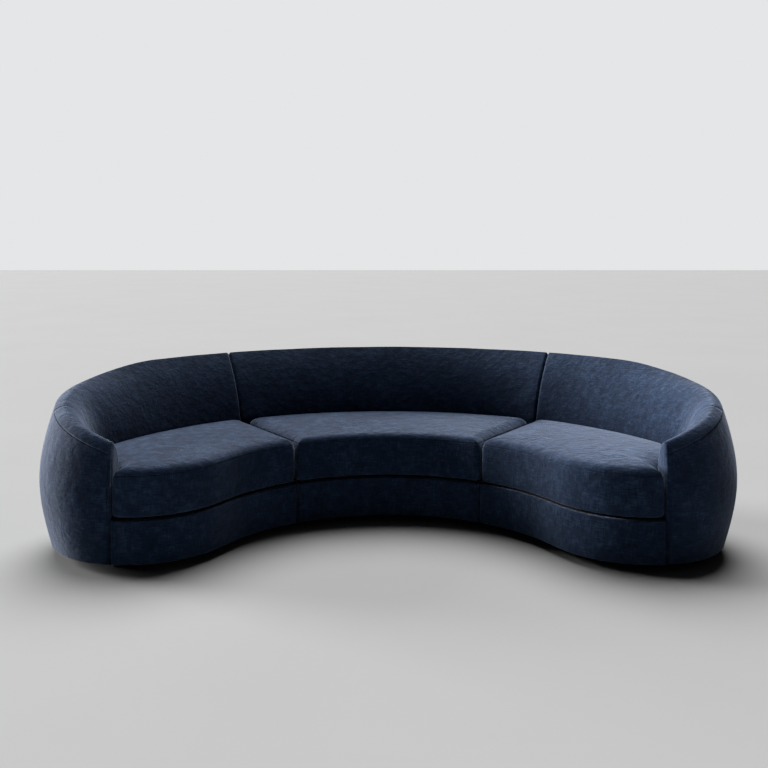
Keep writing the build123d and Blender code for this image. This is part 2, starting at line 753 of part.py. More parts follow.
with BuildPart() as centre_dust_cover:
    extrude(centre_floor(FOOT_HEIGHT), amount=DUST_COVER)
    with BuildSketch(Plane.XY.offset(FOOT_HEIGHT)):
        with Locations(*centre_feet_at):
            Circle(SCREW_HOLE)
    extrude(amount=DUST_COVER, mode=Mode.SUBTRACT)

# Rails that stand on the base panels
RAIL_TALL = SEAT_FRAME_BOTTOM - PANEL_TOP
with BuildPart() as right_front_rail:
    extrude(
        end_band(PANEL_TOP, RAIL_INSET, RAIL_INSET + RAIL_PLY, LINING_BACK, COVER_NOSE), amount=RAIL_TALL
    )

with BuildPart() as centre_front_rail:
    extrude(centre_band(PANEL_TOP, RAIL_INSET, RAIL_INSET + RAIL_PLY, LINING_BACK), amount=RAIL_TALL)

JOINT_RAIL_FRONT = FRONT_RADIUS + DECK_INSET
JOINT_RAIL_REAR = RIM_RADIUS - RIB_FACE - FIT


def joint_rail_block(offset: float) -> Sketch:
    """Upright rectangle of the joint rail's length and height beside the right joint."""
    with BuildSketch(joint_face(offset)) as block:
        with Locations(((JOINT_RAIL_FRONT + JOINT_RAIL_REAR) / 2, PANEL_TOP + RAIL_TALL / 2)):
            Rectangle(JOINT_RAIL_REAR - JOINT_RAIL_FRONT, RAIL_TALL)
    return block.sketch


with BuildPart() as right_joint_rail:
    extrude(joint_rail_block(LINING_BACK), amount=RAIL_PLY)
    add(right_plate_holes, mode=Mode.SUBTRACT)

with BuildPart() as centre_right_joint_rail:
    extrude(joint_rail_block(-LINING_BACK), amount=-RAIL_PLY)
    extrude(connector_blocks(-LINING_BACK, SLOT_WIDTH, SLOT_TALL), amount=-RAIL_PLY, mode=Mode.SUBTRACT)
    add(centre_plate_holes, mode=Mode.SUBTRACT)

with BuildPart() as centre_joint_rails:
    add(centre_right_joint_rail.part)
    mirror(centre_right_joint_rail.part, about=Plane.YZ)

# Linings that close the frame's open ends, with a window for each connector plate
with BuildPart() as right_joint_lining:
    extrude(lining_section(RIGHT_START), amount=LINING)
    extrude(
        connector_blocks(JOINT_GAP, PLATE_WIDTH + 2 * FIT, PLATE_TALL + 2 * FIT),
        amount=LINING,
        mode=Mode.SUBTRACT,
    )

with BuildPart() as centre_right_joint_lining:
    extrude(lining_section(station(JOINT_ANGLE, -JOINT_GAP)), amount=-LINING)
    extrude(
        connector_blocks(-JOINT_GAP, PLATE_WIDTH + 2 * FIT, PLATE_TALL + 2 * FIT),
        amount=-LINING,
        mode=Mode.SUBTRACT,
    )

with BuildPart() as centre_joint_linings:
    add(centre_right_joint_lining.part)
    mirror(centre_right_joint_lining.part, about=Plane.YZ)

# Cross rails, straps, seat frames and deck pads
JOINT_RAIL_BACK = LINING_BACK + RAIL_PLY
CROSS_INSET = DECK_INSET
RIGHT_CROSS_ANGLES = spread(JOINT_ANGLE, LOBE_ANGLE + JOINT_ANGLE / 3, 5)[1:-1]
CENTRE_CROSS_ANGLES = spread(-JOINT_ANGLE, JOINT_ANGLE, 5)[1:-1]
SEAT_NOSE = END_PANEL + 2 * FIT

with BuildPart() as right_cross_rails:
    with BuildSketch(Plane.XY.offset(PANEL_TOP)):
        add(spokes(0, RIGHT_CROSS_ANGLES, RAIL_PLY))
        add(
            end_seat(0, CROSS_INSET, RIB_FACE + FIT - CROSS_INSET, JOINT_RAIL_BACK, SEAT_NOSE),
            mode=Mode.INTERSECT,
        )
    extrude(amount=RAIL_TALL)

with BuildPart() as centre_cross_rails:
    with BuildSketch(Plane.XY.offset(PANEL_TOP)):
        add(spokes(0, CENTRE_CROSS_ANGLES, RAIL_PLY))
        add(
            centre_seat(0, CROSS_INSET, RIB_FACE + FIT - CROSS_INSET, JOINT_RAIL_BACK), mode=Mode.INTERSECT
        )
    extrude(amount=RAIL_TALL)

RING_WALL = RIB_FACE + FIT - RAIL_INSET
with BuildPart() as right_seat_frame:
    extrude(
        end_seat(SEAT_FRAME_BOTTOM, RAIL_INSET, RING_WALL, LINING_BACK, SEAT_NOSE), amount=SEAT_PLY
    )
    extrude(
        end_seat(
            SEAT_FRAME_BOTTOM,
            RAIL_INSET + SEAT_FRAME_WIDTH,
            RING_WALL,
            LINING_BACK + SEAT_FRAME_WIDTH,
            SEAT_NOSE + SEAT_FRAME_WIDTH,
        ),
        amount=SEAT_PLY,
        mode=Mode.SUBTRACT,
    )

with BuildPart() as centre_seat_frame:
    extrude(centre_seat(SEAT_FRAME_BOTTOM, RAIL_INSET, RING_WALL, LINING_BACK), amount=SEAT_PLY)
    extrude(
        centre_seat(
            SEAT_FRAME_BOTTOM, RAIL_INSET + SEAT_FRAME_WIDTH, RING_WALL, LINING_BACK + SEAT_FRAME_WIDTH
        ),
        amount=SEAT_PLY,
        mode=Mode.SUBTRACT,
    )

STRAP_INSET = RAIL_INSET + SEAT_FRAME_WIDTH / 3
STRAP_JOINT = LINING_BACK + SEAT_FRAME_WIDTH / 3
STRAP_NOSE = SEAT_NOSE + SEAT_FRAME_WIDTH / 3
RIGHT_STRAP_COUNT = int((LOBE_ANGLE - JOINT_ANGLE) / STRAP_STEP)
RIGHT_STRAP_ANGLES = [JOINT_ANGLE + STRAP_STEP * (count + 1) for count in range(RIGHT_STRAP_COUNT)]
CENTRE_STRAP_COUNT = int((JOINT_ANGLE - STRAP_STEP / 2) / STRAP_STEP)
CENTRE_STRAP_ANGLES = [STRAP_STEP * count for count in range(-CENTRE_STRAP_COUNT, CENTRE_STRAP_COUNT + 1)]

with BuildPart() as right_webbing:
    with BuildSketch(Plane.XY.offset(SEAT_FRAME_TOP)):
        add(spokes(0, RIGHT_STRAP_ANGLES, STRAP_WIDTH))
        add(end_seat(0, STRAP_INSET, RING_WALL, STRAP_JOINT, STRAP_NOSE), mode=Mode.INTERSECT)
    extrude(amount=STRAP)

with BuildPart() as centre_webbing:
    with BuildSketch(Plane.XY.offset(SEAT_FRAME_TOP)):
        add(spokes(0, CENTRE_STRAP_ANGLES, STRAP_WIDTH))
        add(centre_seat(0, STRAP_INSET, RING_WALL, STRAP_JOINT), mode=Mode.INTERSECT)
    extrude(amount=STRAP)

DECK_WALL = BACK_SPREAD + PAD_LEAN + DECK_ROOM
with BuildPart() as right_deck_pad:
    extrude(end_seat(DECK_BOTTOM, RAIL_INSET, DECK_WALL - RAIL_INSET, JOINT_GAP, SEAT_NOSE), amount=DECK_PAD)

with BuildPart() as centre_deck_pad:
    extrude(centre_seat(DECK_BOTTOM, RAIL_INSET, DECK_WALL - RAIL_INSET, JOINT_GAP), amount=DECK_PAD)

# Ribs and the rails along their tops
RIB_START = LINING_BACK + RIB_PLY / 2 + FIT
NOSE_RIB = RIB_PLY / 2 + FIT
right_rib_cuts = [station(JOINT_ANGLE, RIB_START), *back_cuts[2::2], *arm_cuts[1:-1]]
with BuildPart() as right_ribs:
    for cut in right_rib_cuts + [station(NOSE_ANGLE, -NOSE_RIB)]:
        extrude(rib_section(cut), amount=RIB_PLY / 2, both=True)

RIB_SWING = JOINT_ANGLE - degrees(RIB_START / (RIM_RADIUS - RIB_FACE))
CENTRE_RIB_ANGLES = spread(-RIB_SWING, RIB_SWING, 5)
with BuildPart() as centre_ribs:
    for angle in CENTRE_RIB_ANGLES:
        extrude(rib_section(station(angle)), amount=RIB_PLY / 2, both=True)

top_rail_cuts = [station(JOINT_ANGLE, LINING_BACK), *back_cuts[1:], *arm_cuts[1:]]
with BuildPart() as right_top_rail:
    loft(sections=[top_rail_section(cut) for cut in top_rail_cuts])

RAIL_SWING = JOINT_ANGLE - degrees(LINING_BACK / (RIM_RADIUS - BACK_SPREAD))
with BuildPart() as centre_top_rail:
    revolve(top_rail_section(station(-RAIL_SWING)), axis=ARC_AXIS, revolution_arc=2 * RAIL_SWING)

right_pieces = {
    "seat_cushion": right_seat_cushion,
    "back_pad": right_back_pad,
    "arm_pad": right_arm_pad,
    "arm_end_panel": right_arm_end_panel,
    "outer_panel": right_outer_panel,
    "base_cover": right_base_cover,
    "base_panel": right_base_panel,
    "dust_cover": right_dust_cover,
    "front_rail": right_front_rail,
    "joint_rail": right_joint_rail,
    "joint_lining": right_joint_lining,
    "cross_rails": right_cross_rails,
    "seat_frame": right_seat_frame,
    "webbing": right_webbing,
    "deck_pad": right_deck_pad,
    "ribs": right_ribs,
    "top_rail": right_top_rail,
    "connector_tongues": right_connector_tongues,
    "screws": right_screws,
    "feet": right_feet,
}
centre_pieces = {
    "seat_cushion": centre_seat_cushion,
    "back_pad": centre_back_pad,
    "outer_panel": centre_outer_panel,
    "base_cover": centre_base_cover,
    "base_panel": centre_base_panel,
    "dust_cover": centre_dust_cover,
    "front_rail": centre_front_rail,
    "joint_rails": centre_joint_rails,
    "joint_linings": centre_joint_linings,
    "cross_rails": centre_cross_rails,
    "seat_frame": centre_seat_frame,
    "webbing": centre_webbing,
    "deck_pad": centre_deck_pad,
    "ribs": centre_ribs,
    "top_rail": centre_top_rail,
    "connector_sockets": centre_connector_sockets,
    "screws": centre_screws,
    "feet": centre_feet,
}

# One file for each piece; the left end section is the right one mirrored
os.makedirs("parts", exist_ok=True)
pieces = {f"centre_{name}": piece.part for name, piece in centre_pieces.items()}
pieces.update({f"right_{name}": piece.part for name, piece in right_pieces.items()})
pieces.update({f"left_{name}": mirrored(piece.part) for name, piece in right_pieces.items()})
for name, piece in pieces.items():
    piece.label = name
    export_step(piece, f"parts/{name}.step")
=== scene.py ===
"""Dresses the curved three-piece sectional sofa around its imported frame.

Metres, +Z up, and the sofa faces -Y. Angles are degrees from +Y towards +X. Each upholstered
piece of an end section is built for the right end, and the left one is its mirror image.
"""
import logging
import math
from dataclasses import dataclass, field
from enum import Enum
from typing import Callable, Iterable, Sequence, Union

import bmesh
import bpy
import numpy as np
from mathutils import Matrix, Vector, noise


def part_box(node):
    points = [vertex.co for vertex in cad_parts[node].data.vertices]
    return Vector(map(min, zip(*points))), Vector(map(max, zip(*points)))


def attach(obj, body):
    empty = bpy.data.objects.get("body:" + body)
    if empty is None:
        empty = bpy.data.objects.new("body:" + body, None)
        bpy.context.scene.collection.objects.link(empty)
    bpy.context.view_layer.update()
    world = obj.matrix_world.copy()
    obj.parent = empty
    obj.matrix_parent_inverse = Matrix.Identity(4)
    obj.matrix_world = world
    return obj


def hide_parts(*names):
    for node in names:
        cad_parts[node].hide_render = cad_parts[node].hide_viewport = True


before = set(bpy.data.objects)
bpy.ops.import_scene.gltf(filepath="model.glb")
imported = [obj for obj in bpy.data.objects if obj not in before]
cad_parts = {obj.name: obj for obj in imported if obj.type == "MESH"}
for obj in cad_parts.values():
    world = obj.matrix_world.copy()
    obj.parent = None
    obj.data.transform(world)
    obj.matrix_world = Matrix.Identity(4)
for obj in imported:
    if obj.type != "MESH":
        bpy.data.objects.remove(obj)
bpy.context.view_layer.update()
LOG = logging.getLogger("sofa")
Colour = tuple[float, float, float]


class Side(Enum):
    """The three sections of the sofa."""

    CENTRE = "centre"
    RIGHT = "right"
    LEFT = "left"

    @property
    def section(self) -> str:
        """Name of the section's body."""
        return f"{self.value}_section"

    @property
    def cushion(self) -> str:
        """Name of the loose cushion's body."""
        return f"{self.value}_cushion"

    def node(self, piece: str) -> str:
        """Name of one of the section's pieces."""
        return f"{self.value}_{piece}"

    def turned(self, points: np.ndarray) -> np.ndarray:
        """Points of the right end, mirrored for the left one."""
        return points * np.array([-1.0, 1.0, 1.0]) if self is Side.LEFT else points


# Plan and sections of the sofa


def along(angle: float) -> np.ndarray:
    """Unit vector that points out from a centre at an angle."""
    return np.array([math.sin(math.radians(angle)), math.cos(math.radians(angle))])


def across(angle: float) -> np.ndarray:
    """Unit vector square to along(angle), towards larger angles."""
    return np.array([math.cos(math.radians(angle)), -math.sin(math.radians(angle))])


def swing(angle: float, radius: float, offset: float) -> float:
    """Angle of the point at a radius that stands an offset beside the ray at an angle."""
    return angle + math.degrees(math.asin(offset / radius))


def arc_points(centre: np.ndarray, radius: float, start: float, end: float, count: int) -> np.ndarray:
    """Points on an arc from one angle up to, but without, another.

    Args:
        centre: Centre of the arc in plan.
        radius: Radius of the arc.
        start: Angle of the first point.
        end: Angle at which the next stretch begins.
        count: Number of points.

    Returns:
        The points, one row each.
    """
    angles = np.radians(np.linspace(start, end, count, endpoint=False))
    return centre + radius * np.column_stack([np.sin(angles), np.cos(angles)])


def straight(start: np.ndarray, end: np.ndarray, count: int) -> np.ndarray:
    """Points on a line from one point up to, but without, another."""
    return start + (end - start) * np.linspace(0, 1, count, endpoint=False)[:, None]


def blend(start: float, end: float, share: float) -> float:
    """Value that lies a share of the way from start to end."""
    return start + (end - start) * share


def handled(points: Sequence[np.ndarray], count: int) -> np.ndarray:
    """Points on the curve that four control points give.

    Args:
        points: The start, the handle there, the handle at the end and the end.
        count: Number of points.

    Returns:
        The points, one row each.
    """
    share = np.linspace(0, 1, count)[:, None]
    rest = 1 - share
    first, second, third, last = points
    middle = rest * second + share * third
    return rest ** 3 * first + 3 * rest * share * middle + share ** 3 * last


def turned_arc(centre: np.ndarray, radius: float, start: float, end: float, count: int) -> np.ndarray:
    """Points of a round edge in a section, between two angles from the section's outward axis."""
    angles = np.radians(np.linspace(start, end, count))
    return centre + radius * np.column_stack([np.cos(angles), np.sin(angles)])


@dataclass(frozen=True)
class Station:
    """One upright cut through the back wall, square to the way the wall runs."""

    origin: np.ndarray
    outward: np.ndarray
    rim: float
    height: float
    bulge: float
    spread: float
    fall: float

    def place(self, profile: np.ndarray) -> np.ndarray:
        """Points in space of a profile of distances out and heights."""
        flat = self.origin + np.outer(profile[:, 0], self.outward)
        return np.column_stack([flat, profile[:, 1]])


@dataclass(frozen=True)
class SofaPlan:
    """Driving sizes of the sofa."""

    front_radius: float = 0.787
    front_run: float = 0.109
    lobe_radius: float = 0.408
    lobe_angle: float = 66.3
    joint_angle: float = 33.0
    arm_seam_angle: float = 111.0
    nose_angle: float = 171.0
    bay_shift: float = 0.073
    floor_gap: float = 0.036
    seat_height: float = 0.427
    back_height: float = 0.760
    arm_height: float = 0.502
    foot_out: float = 0.008
    back_bulge: float = 0.060
    nose_bulge: float = 0.010
    back_spread: float = 0.175
    pad_lean: float = 0.014
    back_crest: float = -0.099
    nose_crest: float = 0.093
    fullness_power: float = 2.4
    back_seat_handle: tuple[float, float] = (0.20, 0.37)
    nose_seat_handle: tuple[float, float] = (0.03, 0.90)
    back_rim_handle: float = 0.47
    nose_rim_handle: float = 0.24
    rim_fall_angle: float = 48.7
    rim_fall_power: float = 1.56
    joint_gap: float = 0.0015
    end_panel: float = 0.006

    @property
    def lobe_reach(self) -> float:
        """Distance from the arc's centre to a lobe's centre."""
        return math.hypot(self.front_radius + self.lobe_radius, self.front_run)

    @property
    def bend_angle(self) -> float:
        """Angle at which the hollow front turns into the straight run."""
        reach = self.front_radius + self.lobe_radius
        return self.lobe_angle - math.degrees(math.atan2(self.front_run, reach))

    @property
    def rim_lobe(self) -> float:
        """Radius of the rim round a lobe."""
        return self.lobe_radius - self.foot_out

    @property
    def rim_radius(self) -> float:
        """Radius of the rim round the arc's centre."""
        return self.lobe_reach + self.rim_lobe

    @property
    def arc_centre(self) -> np.ndarray:
        """Centre of the hollow front and of the back, in plan."""
        forward = self.lobe_reach * math.cos(math.radians(self.lobe_angle)) - self.lobe_radius
        return np.array([0.0, -(self.rim_radius + self.back_bulge + forward) / 2])

    @property
    def lobe_centre(self) -> np.ndarray:
        """Centre of the right lobe, in plan."""
        return self.arc_centre + along(self.lobe_angle) * self.lobe_reach

    @property
    def bay_centre(self) -> np.ndarray:
        """Centre of the inner wall's round in the right end, in plan."""
        return self.lobe_centre - along(self.lobe_angle) * self.bay_shift

    def wall_spread(self, angle: float) -> float:
        """How far the inner face stands inside the rim at seat height.

        Args:
            angle: Angle of the cut through the wall.

        Returns:
            The distance.
        """
        turn = math.radians(max(angle - self.lobe_angle, 0.0))
        sweep = self.rim_lobe - self.back_spread + self.bay_shift
        side = self.bay_shift * math.sin(turn)
        return self.rim_lobe + self.bay_shift * math.cos(turn) - math.sqrt(sweep ** 2 - side ** 2)

    def wall_run(self, angle: float) -> float:
        """Length of the rim from the middle of the back to an angle."""
        main = min(angle, self.lobe_angle)
        return self.rim_radius * math.radians(main) + self.rim_lobe * math.radians(angle - main)

    def wall_angle(self, run: float) -> float:
        """Angle that wall_run gives a run for."""
        main = min(run, self.rim_radius * math.radians(self.lobe_angle))
        return math.degrees(main / self.rim_radius + (run - main) / self.rim_lobe)

    def rim_fall(self, angle: float) -> float:
        """How far the rim has fallen towards the arm's height.

        Args:
            angle: Angle of the cut through the wall.

        Returns:
            A share from 0 at the back to 1 at the nose.
        """
        start = self.wall_run(self.rim_fall_angle)
        share = (self.wall_run(abs(angle)) - start) / (self.wall_run(self.nose_angle) - start)
        return max(share, 0.0) ** self.rim_fall_power

    def station(self, angle: float, offset: float = 0.0) -> Station:
        """Cut through the wall at an angle.

        Args:
            angle: Angle of the cut; past the lobe's angle it is about the lobe's centre.
            offset: How far the cut stands beside that angle's plane.

        Returns:
            The cut.
        """
        on_lobe = angle > self.lobe_angle
        turn = max(angle - self.lobe_angle, 0.0) / (self.nose_angle - self.lobe_angle)
        fall = self.rim_fall(angle)
        return Station(
            origin=(self.lobe_centre if on_lobe else self.arc_centre) + across(angle) * offset,
            outward=along(angle),
            rim=self.rim_lobe if on_lobe else self.rim_radius,
            height=self.back_height - (self.back_height - self.arm_height) * fall,
            bulge=self.back_bulge + (self.nose_bulge - self.back_bulge) * turn ** 2,
            spread=self.wall_spread(angle),
            fall=fall,
        )

    def seat_outline(
        self, side: Side, inset: float, wall: float, joint: float, nose: float
    ) -> tuple[np.ndarray, list[int]]:
        """Outline of a section's seat in plan, anticlockwise.

        Args:
            side: The section; the left end gets the right end's outline.
            inset: How far the front and the inner wall are drawn in.
            wall: How far the inner wall stands inside the rim.
            joint: Offset from the joint plane.
            nose: Offset from the nose plane.

        Returns:
            The points, and the indexes of the corners: joint and front, nose and front,
            nose and wall, wall and joint. The centre has front and wall corners at both joints.
        """
        front = self.front_radius + inset
        if side is Side.CENTRE:
            rear = self.rim_radius - wall - inset
            near = swing(self.joint_angle, front, -joint)
            far = swing(self.joint_angle, rear, -joint)
            hollow = arc_points(self.arc_centre, front, -near, near, 120)
            back = arc_points(self.arc_centre, rear, far, -far, 180)
            ends = [self.arc_centre + along(near) * front, self.arc_centre + along(-far) * rear]
            stretches = [hollow, straight(ends[0], back[0], 70), back, straight(ends[1], hollow[0], 70)]
            corners = [0, 1, 2, 3]
        else:
            lobe = self.lobe_radius - inset
            bay = self.rim_lobe - wall - inset
            rear = self.lobe_reach + bay
            start = swing(self.joint_angle, front, joint)
            finish = swing(self.joint_angle, rear, joint)
            hollow = arc_points(self.arc_centre, front, start, self.bend_angle, 56)
            bend = self.arc_centre + along(self.bend_angle) * front
            tip = swing(self.nose_angle, lobe, nose)
            curve = arc_points(self.lobe_centre, lobe, self.bend_angle + 180, tip, 70)
            sweep = bay + self.bay_shift
            shift = self.bay_shift * math.sin(math.radians(self.nose_angle - self.lobe_angle))
            inner = swing(self.nose_angle, sweep, nose - shift)
            corner = arc_points(self.bay_centre, sweep, inner, self.lobe_angle, 56)
            back = arc_points(self.arc_centre, rear, self.lobe_angle, finish, 80)
            stretches = [
                hollow,
                straight(bend, curve[0], 14),
                curve,
                straight(self.lobe_centre + along(tip) * lobe, corner[0], 28),
                corner,
                back,
                straight(self.arc_centre + along(finish) * rear, hollow[0], 70),
            ]
            corners = [0, 3, 4, 6]
        starts = np.cumsum([0] + [len(stretch) for stretch in stretches])
        return np.concatenate(stretches), [int(starts[index]) for index in corners]

    def floor_outline(self, side: Side, inset: float) -> np.ndarray:
        """Outline of a section's underside in plan, anticlockwise.

        Args:
            side: The section; the left end gets the right end's outline.
            inset: How far the outline is drawn in, apart from the joints.

        Returns:
            The points, one row each.
        """
        if side is Side.CENTRE:
            return self.seat_outline(side, inset, -self.foot_out, self.joint_gap, 0.0)[0]
        front = self.front_radius + inset
        lobe = self.lobe_radius - inset
        rear = self.lobe_reach + lobe
        start = swing(self.joint_angle, front, self.joint_gap)
        finish = swing(self.joint_angle, rear, self.joint_gap)
        hollow = arc_points(self.arc_centre, front, start, self.bend_angle, 40)
        bend = self.arc_centre + along(self.bend_angle) * front
        lobe_edge = arc_points(self.lobe_centre, lobe, self.bend_angle + 180, self.lobe_angle, 120)
        back = arc_points(self.arc_centre, rear, self.lobe_angle, finish, 60)
        last = straight(self.arc_centre + along(finish) * rear, hollow[0], 40)
        return np.concatenate([hollow, straight(bend, lobe_edge[0], 10), lobe_edge, back, last])


PLAN = SofaPlan()
REST_GAP = 0.0003
DECK_LOW, DECK_HIGH = (corner.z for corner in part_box("centre_deck_pad"))
COVER_LOW, COVER_HIGH = (corner.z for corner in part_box("centre_base_cover"))
PANEL_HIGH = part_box("centre_base_panel")[1].z


# Mesh building


def mesh_object(name: str, points: np.ndarray, faces: Sequence[Sequence[int]]) -> bpy.types.Object:
    """Makes a smooth-shaded object of points and faces, with its faces turned outwards.

    Args:
        name: Name of the object.
        points: One row for each vertex.
        faces: Vertex indexes of each face.

    Returns:
        The object, linked to the scene.
    """
    mesh = bpy.data.meshes.new(name)
    mesh.from_pydata([tuple(point) for point in points], [], [tuple(face) for face in faces])
    shaped = bmesh.new()
    shaped.from_mesh(mesh)
    bmesh.ops.recalc_face_normals(shaped, faces=shaped.faces)
    shaped.to_mesh(mesh)
    shaped.free()
    mesh.shade_smooth()
    made = bpy.data.objects.new(name, mesh)
    bpy.context.scene.collection.objects.link(made)
    return made


def lofted(name: str, rings: Sequence[np.ndarray]) -> bpy.types.Object:
    """Closed object through rings of equally many points, capped at both ends.

    Args:
        name: Name of the object.
        rings: The closed rings in order.

    Returns:
        The object.
    """
    count = len(rings[0])
    steps = np.arange(count)
    after = (steps + 1) % count
    faces: list[Sequence[int]] = []
    for ring in range(len(rings) - 1):
        low, high = ring * count, (ring + 1) * count
        faces.extend(np.column_stack([low + steps, low + after, high + after, high + steps]).tolist())
    faces.append(list(steps[::-1]))
    faces.append(list((len(rings) - 1) * count + steps))
    return mesh_object(name, np.concatenate(rings), faces)


def coordinates(thing: bpy.types.Object) -> np.ndarray:
    """Vertices of an object's mesh.

    Args:
        thing: The object.

    Returns:
        The places, one row each.
    """
    flat = np.empty(len(thing.data.vertices) * 3)
    thing.data.vertices.foreach_get("co", flat)
    return flat.reshape(-1, 3)


def set_coordinates(thing: bpy.types.Object, points: np.ndarray) -> None:
    """Moves the vertices of an object's mesh."""
    thing.data.vertices.foreach_set("co", points.astype(np.float32).ravel())
    thing.data.update()


def normals(thing: bpy.types.Object) -> np.ndarray:
    """Vertex normals of an object's mesh.

    Args:
        thing: The object.

    Returns:
        The directions, one row each.
    """
    flat = np.empty(len(thing.data.vertices) * 3, np.float32)
    thing.data.vertex_normals.foreach_get("vector", flat)
    return flat.reshape(-1, 3).astype(float)


def settle(thing: bpy.types.Object) -> None:
    """Applies every modifier of an object to its mesh.

    Args:
        thing: The object.
    """
    evaluated = thing.evaluated_get(bpy.context.evaluated_depsgraph_get())
    applied = bpy.data.meshes.new_from_object(evaluated)
    old = thing.data
    thing.modifiers.clear()
    thing.data = applied
    bpy.data.meshes.remove(old)
    thing.data.shade_smooth()


def soften_surface(thing: bpy.types.Object, depth: float, wave: float, seed: float) -> None:
    """Gives a padded surface its slight unevenness.

    Args:
        thing: The padded object.
        depth: Largest move along the normal.
        wave: Length of the unevenness.
        seed: Shifts the unevenness, so that pieces differ.
    """
    points = coordinates(thing)
    shift = Vector((seed, -seed, 2 * seed))
    rise = np.array([noise.noise(Vector(point) / wave + shift) for point in points])
    set_coordinates(thing, points + normals(thing) * (rise * depth)[:, None])


def drawn_in(profile: np.ndarray, shown: np.ndarray, inset: float) -> np.ndarray:
    """Draws the shown points of a closed profile in along their normals.

    Args:
        profile: The closed profile, clockwise when seen with its outward axis to the right.
        shown: For each point 1 if it is drawn in, or 0.
        inset: How far.

    Returns:
        The new profile.
    """
    ahead = np.roll(profile, -1, axis=0) - np.roll(profile, 1, axis=0)
    ahead /= np.maximum(np.linalg.norm(ahead, axis=1), 1e-9)[:, None]
    inward = np.column_stack([ahead[:, 1], -ahead[:, 0]])
    return profile + inward * (shown * inset)[:, None]


def round_end(radius: float, steps: int = 5) -> list[tuple[float, float]]:
    """Distances from an end and the insets there that round the end off by a radius."""
    turns = np.radians(np.linspace(0, 90, steps))
    return [(radius * (1 - math.cos(turn)), radius * (1 - math.sin(turn))) for turn in turns]


@dataclass(frozen=True)
class WallEnd:
    """Where an upholstered wall piece stops, and how it is finished there."""

    angle: float
    gap: float
    rounding: list[tuple[float, float]]


def wall_cuts(start: WallEnd, end: WallEnd, spacing: float) -> list[tuple[Station, float]]:
    """Cuts along the wall between two ends, each with the inset of its profile.

    Args:
        start: The end at the smaller angle.
        end: The end at the larger angle.
        spacing: Distance between the cuts in the middle.

    Returns:
        The cuts in order.
    """
    first = start.gap + start.rounding[-1][0]
    last = end.gap + end.rounding[-1][0]
    low = math.copysign(PLAN.wall_run(abs(start.angle)), start.angle) + first
    high = PLAN.wall_run(end.angle) - last
    count = max(int(round((high - low) / spacing)), 2)
    cuts = [(PLAN.station(start.angle, start.gap + away), inset) for away, inset in start.rounding]
    for run in np.linspace(low, high, count + 1)[1:-1]:
        cuts.append((PLAN.station(math.copysign(PLAN.wall_angle(abs(run)), run)), 0.0))
    cuts += [(PLAN.station(end.angle, -end.gap - away), inset) for away, inset in reversed(end.rounding)]
    return cuts


# Finishes

Operand = Union["Value", float]


class Value:
    """A number socket of a shader, with arithmetic."""

    def __init__(self, graph: "Graph", socket: bpy.types.NodeSocket) -> None:
        """Wraps a socket of a graph."""
        self.graph = graph
        self.socket = socket

    def __add__(self, other: Operand) -> "Value":
        """Sum."""
        return self.graph.maths("ADD", self, other)

    __radd__ = __add__

    def __sub__(self, other: Operand) -> "Value":
        """Difference."""
        return self.graph.maths("SUBTRACT", self, other)

    def __rsub__(self, other: Operand) -> "Value":
        """Difference from a number."""
        return self.graph.maths("SUBTRACT", other, self)

    def __mul__(self, other: Operand) -> "Value":
        """Product."""
        return self.graph.maths("MULTIPLY", self, other)

    __rmul__ = __mul__

    def __pow__(self, other: Operand) -> "Value":
        """Power."""
        return self.graph.maths("POWER", self, other)

    def __rpow__(self, other: Operand) -> "Value":
        """Power of a number."""
        return self.graph.maths("POWER", other, self)


class Graph:
    """The node tree of a material or of the surroundings."""

    def __init__(self, owner: bpy.types.Material | bpy.types.World) -> None:
        """Starts the owner's tree with no nodes.

        Args:
            owner: The material or the surroundings.
        """
        owner.use_nodes = True
        self.tree = owner.node_tree
        self.tree.nodes.clear()

    def feed(self, socket: bpy.types.NodeSocket, value: object) -> None:
        """Links a socket, or sets its value.

        Args:
            socket: The input socket.
            value: A value or socket to link, or a number, colour or vector to set.
        """
        if isinstance(value, Value):
            value = value.socket
        if isinstance(value, bpy.types.NodeSocket):
            self.tree.links.new(value, socket)
        elif isinstance(value, tuple) and socket.type == "RGBA":
            socket.default_value = (*value, 1.0)
        else:
            socket.default_value = value

    def node(self, kind: str, settings: dict | None = None, **inputs: object) -> bpy.types.Node:
        """Adds a node.

        Args:
            kind: Type of the node.
            settings: Its properties; "stops" gives a ramp's positions and colours.
            inputs: Values or links for its sockets, by name with _ for a space, or by _ and index.

        Returns:
            The node.
        """
        made = self.tree.nodes.new(kind)
        for key, value in (settings or {}).items():
            if key == "stops":
                set_stops(made.color_ramp, value)
            else:
                setattr(made, key, value)
        for key, value in inputs.items():
            index = key[1:] if key.startswith("_") else ""
            self.feed(made.inputs[int(index)] if index else made.inputs[key.replace("_", " ")], value)
        return made

    def maths(self, operation: str, first: Operand, second: Operand) -> Value:
        """Value of a Math node."""
        made = self.node("ShaderNodeMath", {"operation": operation}, _0=first, _1=second)
        return Value(self, made.outputs[0])


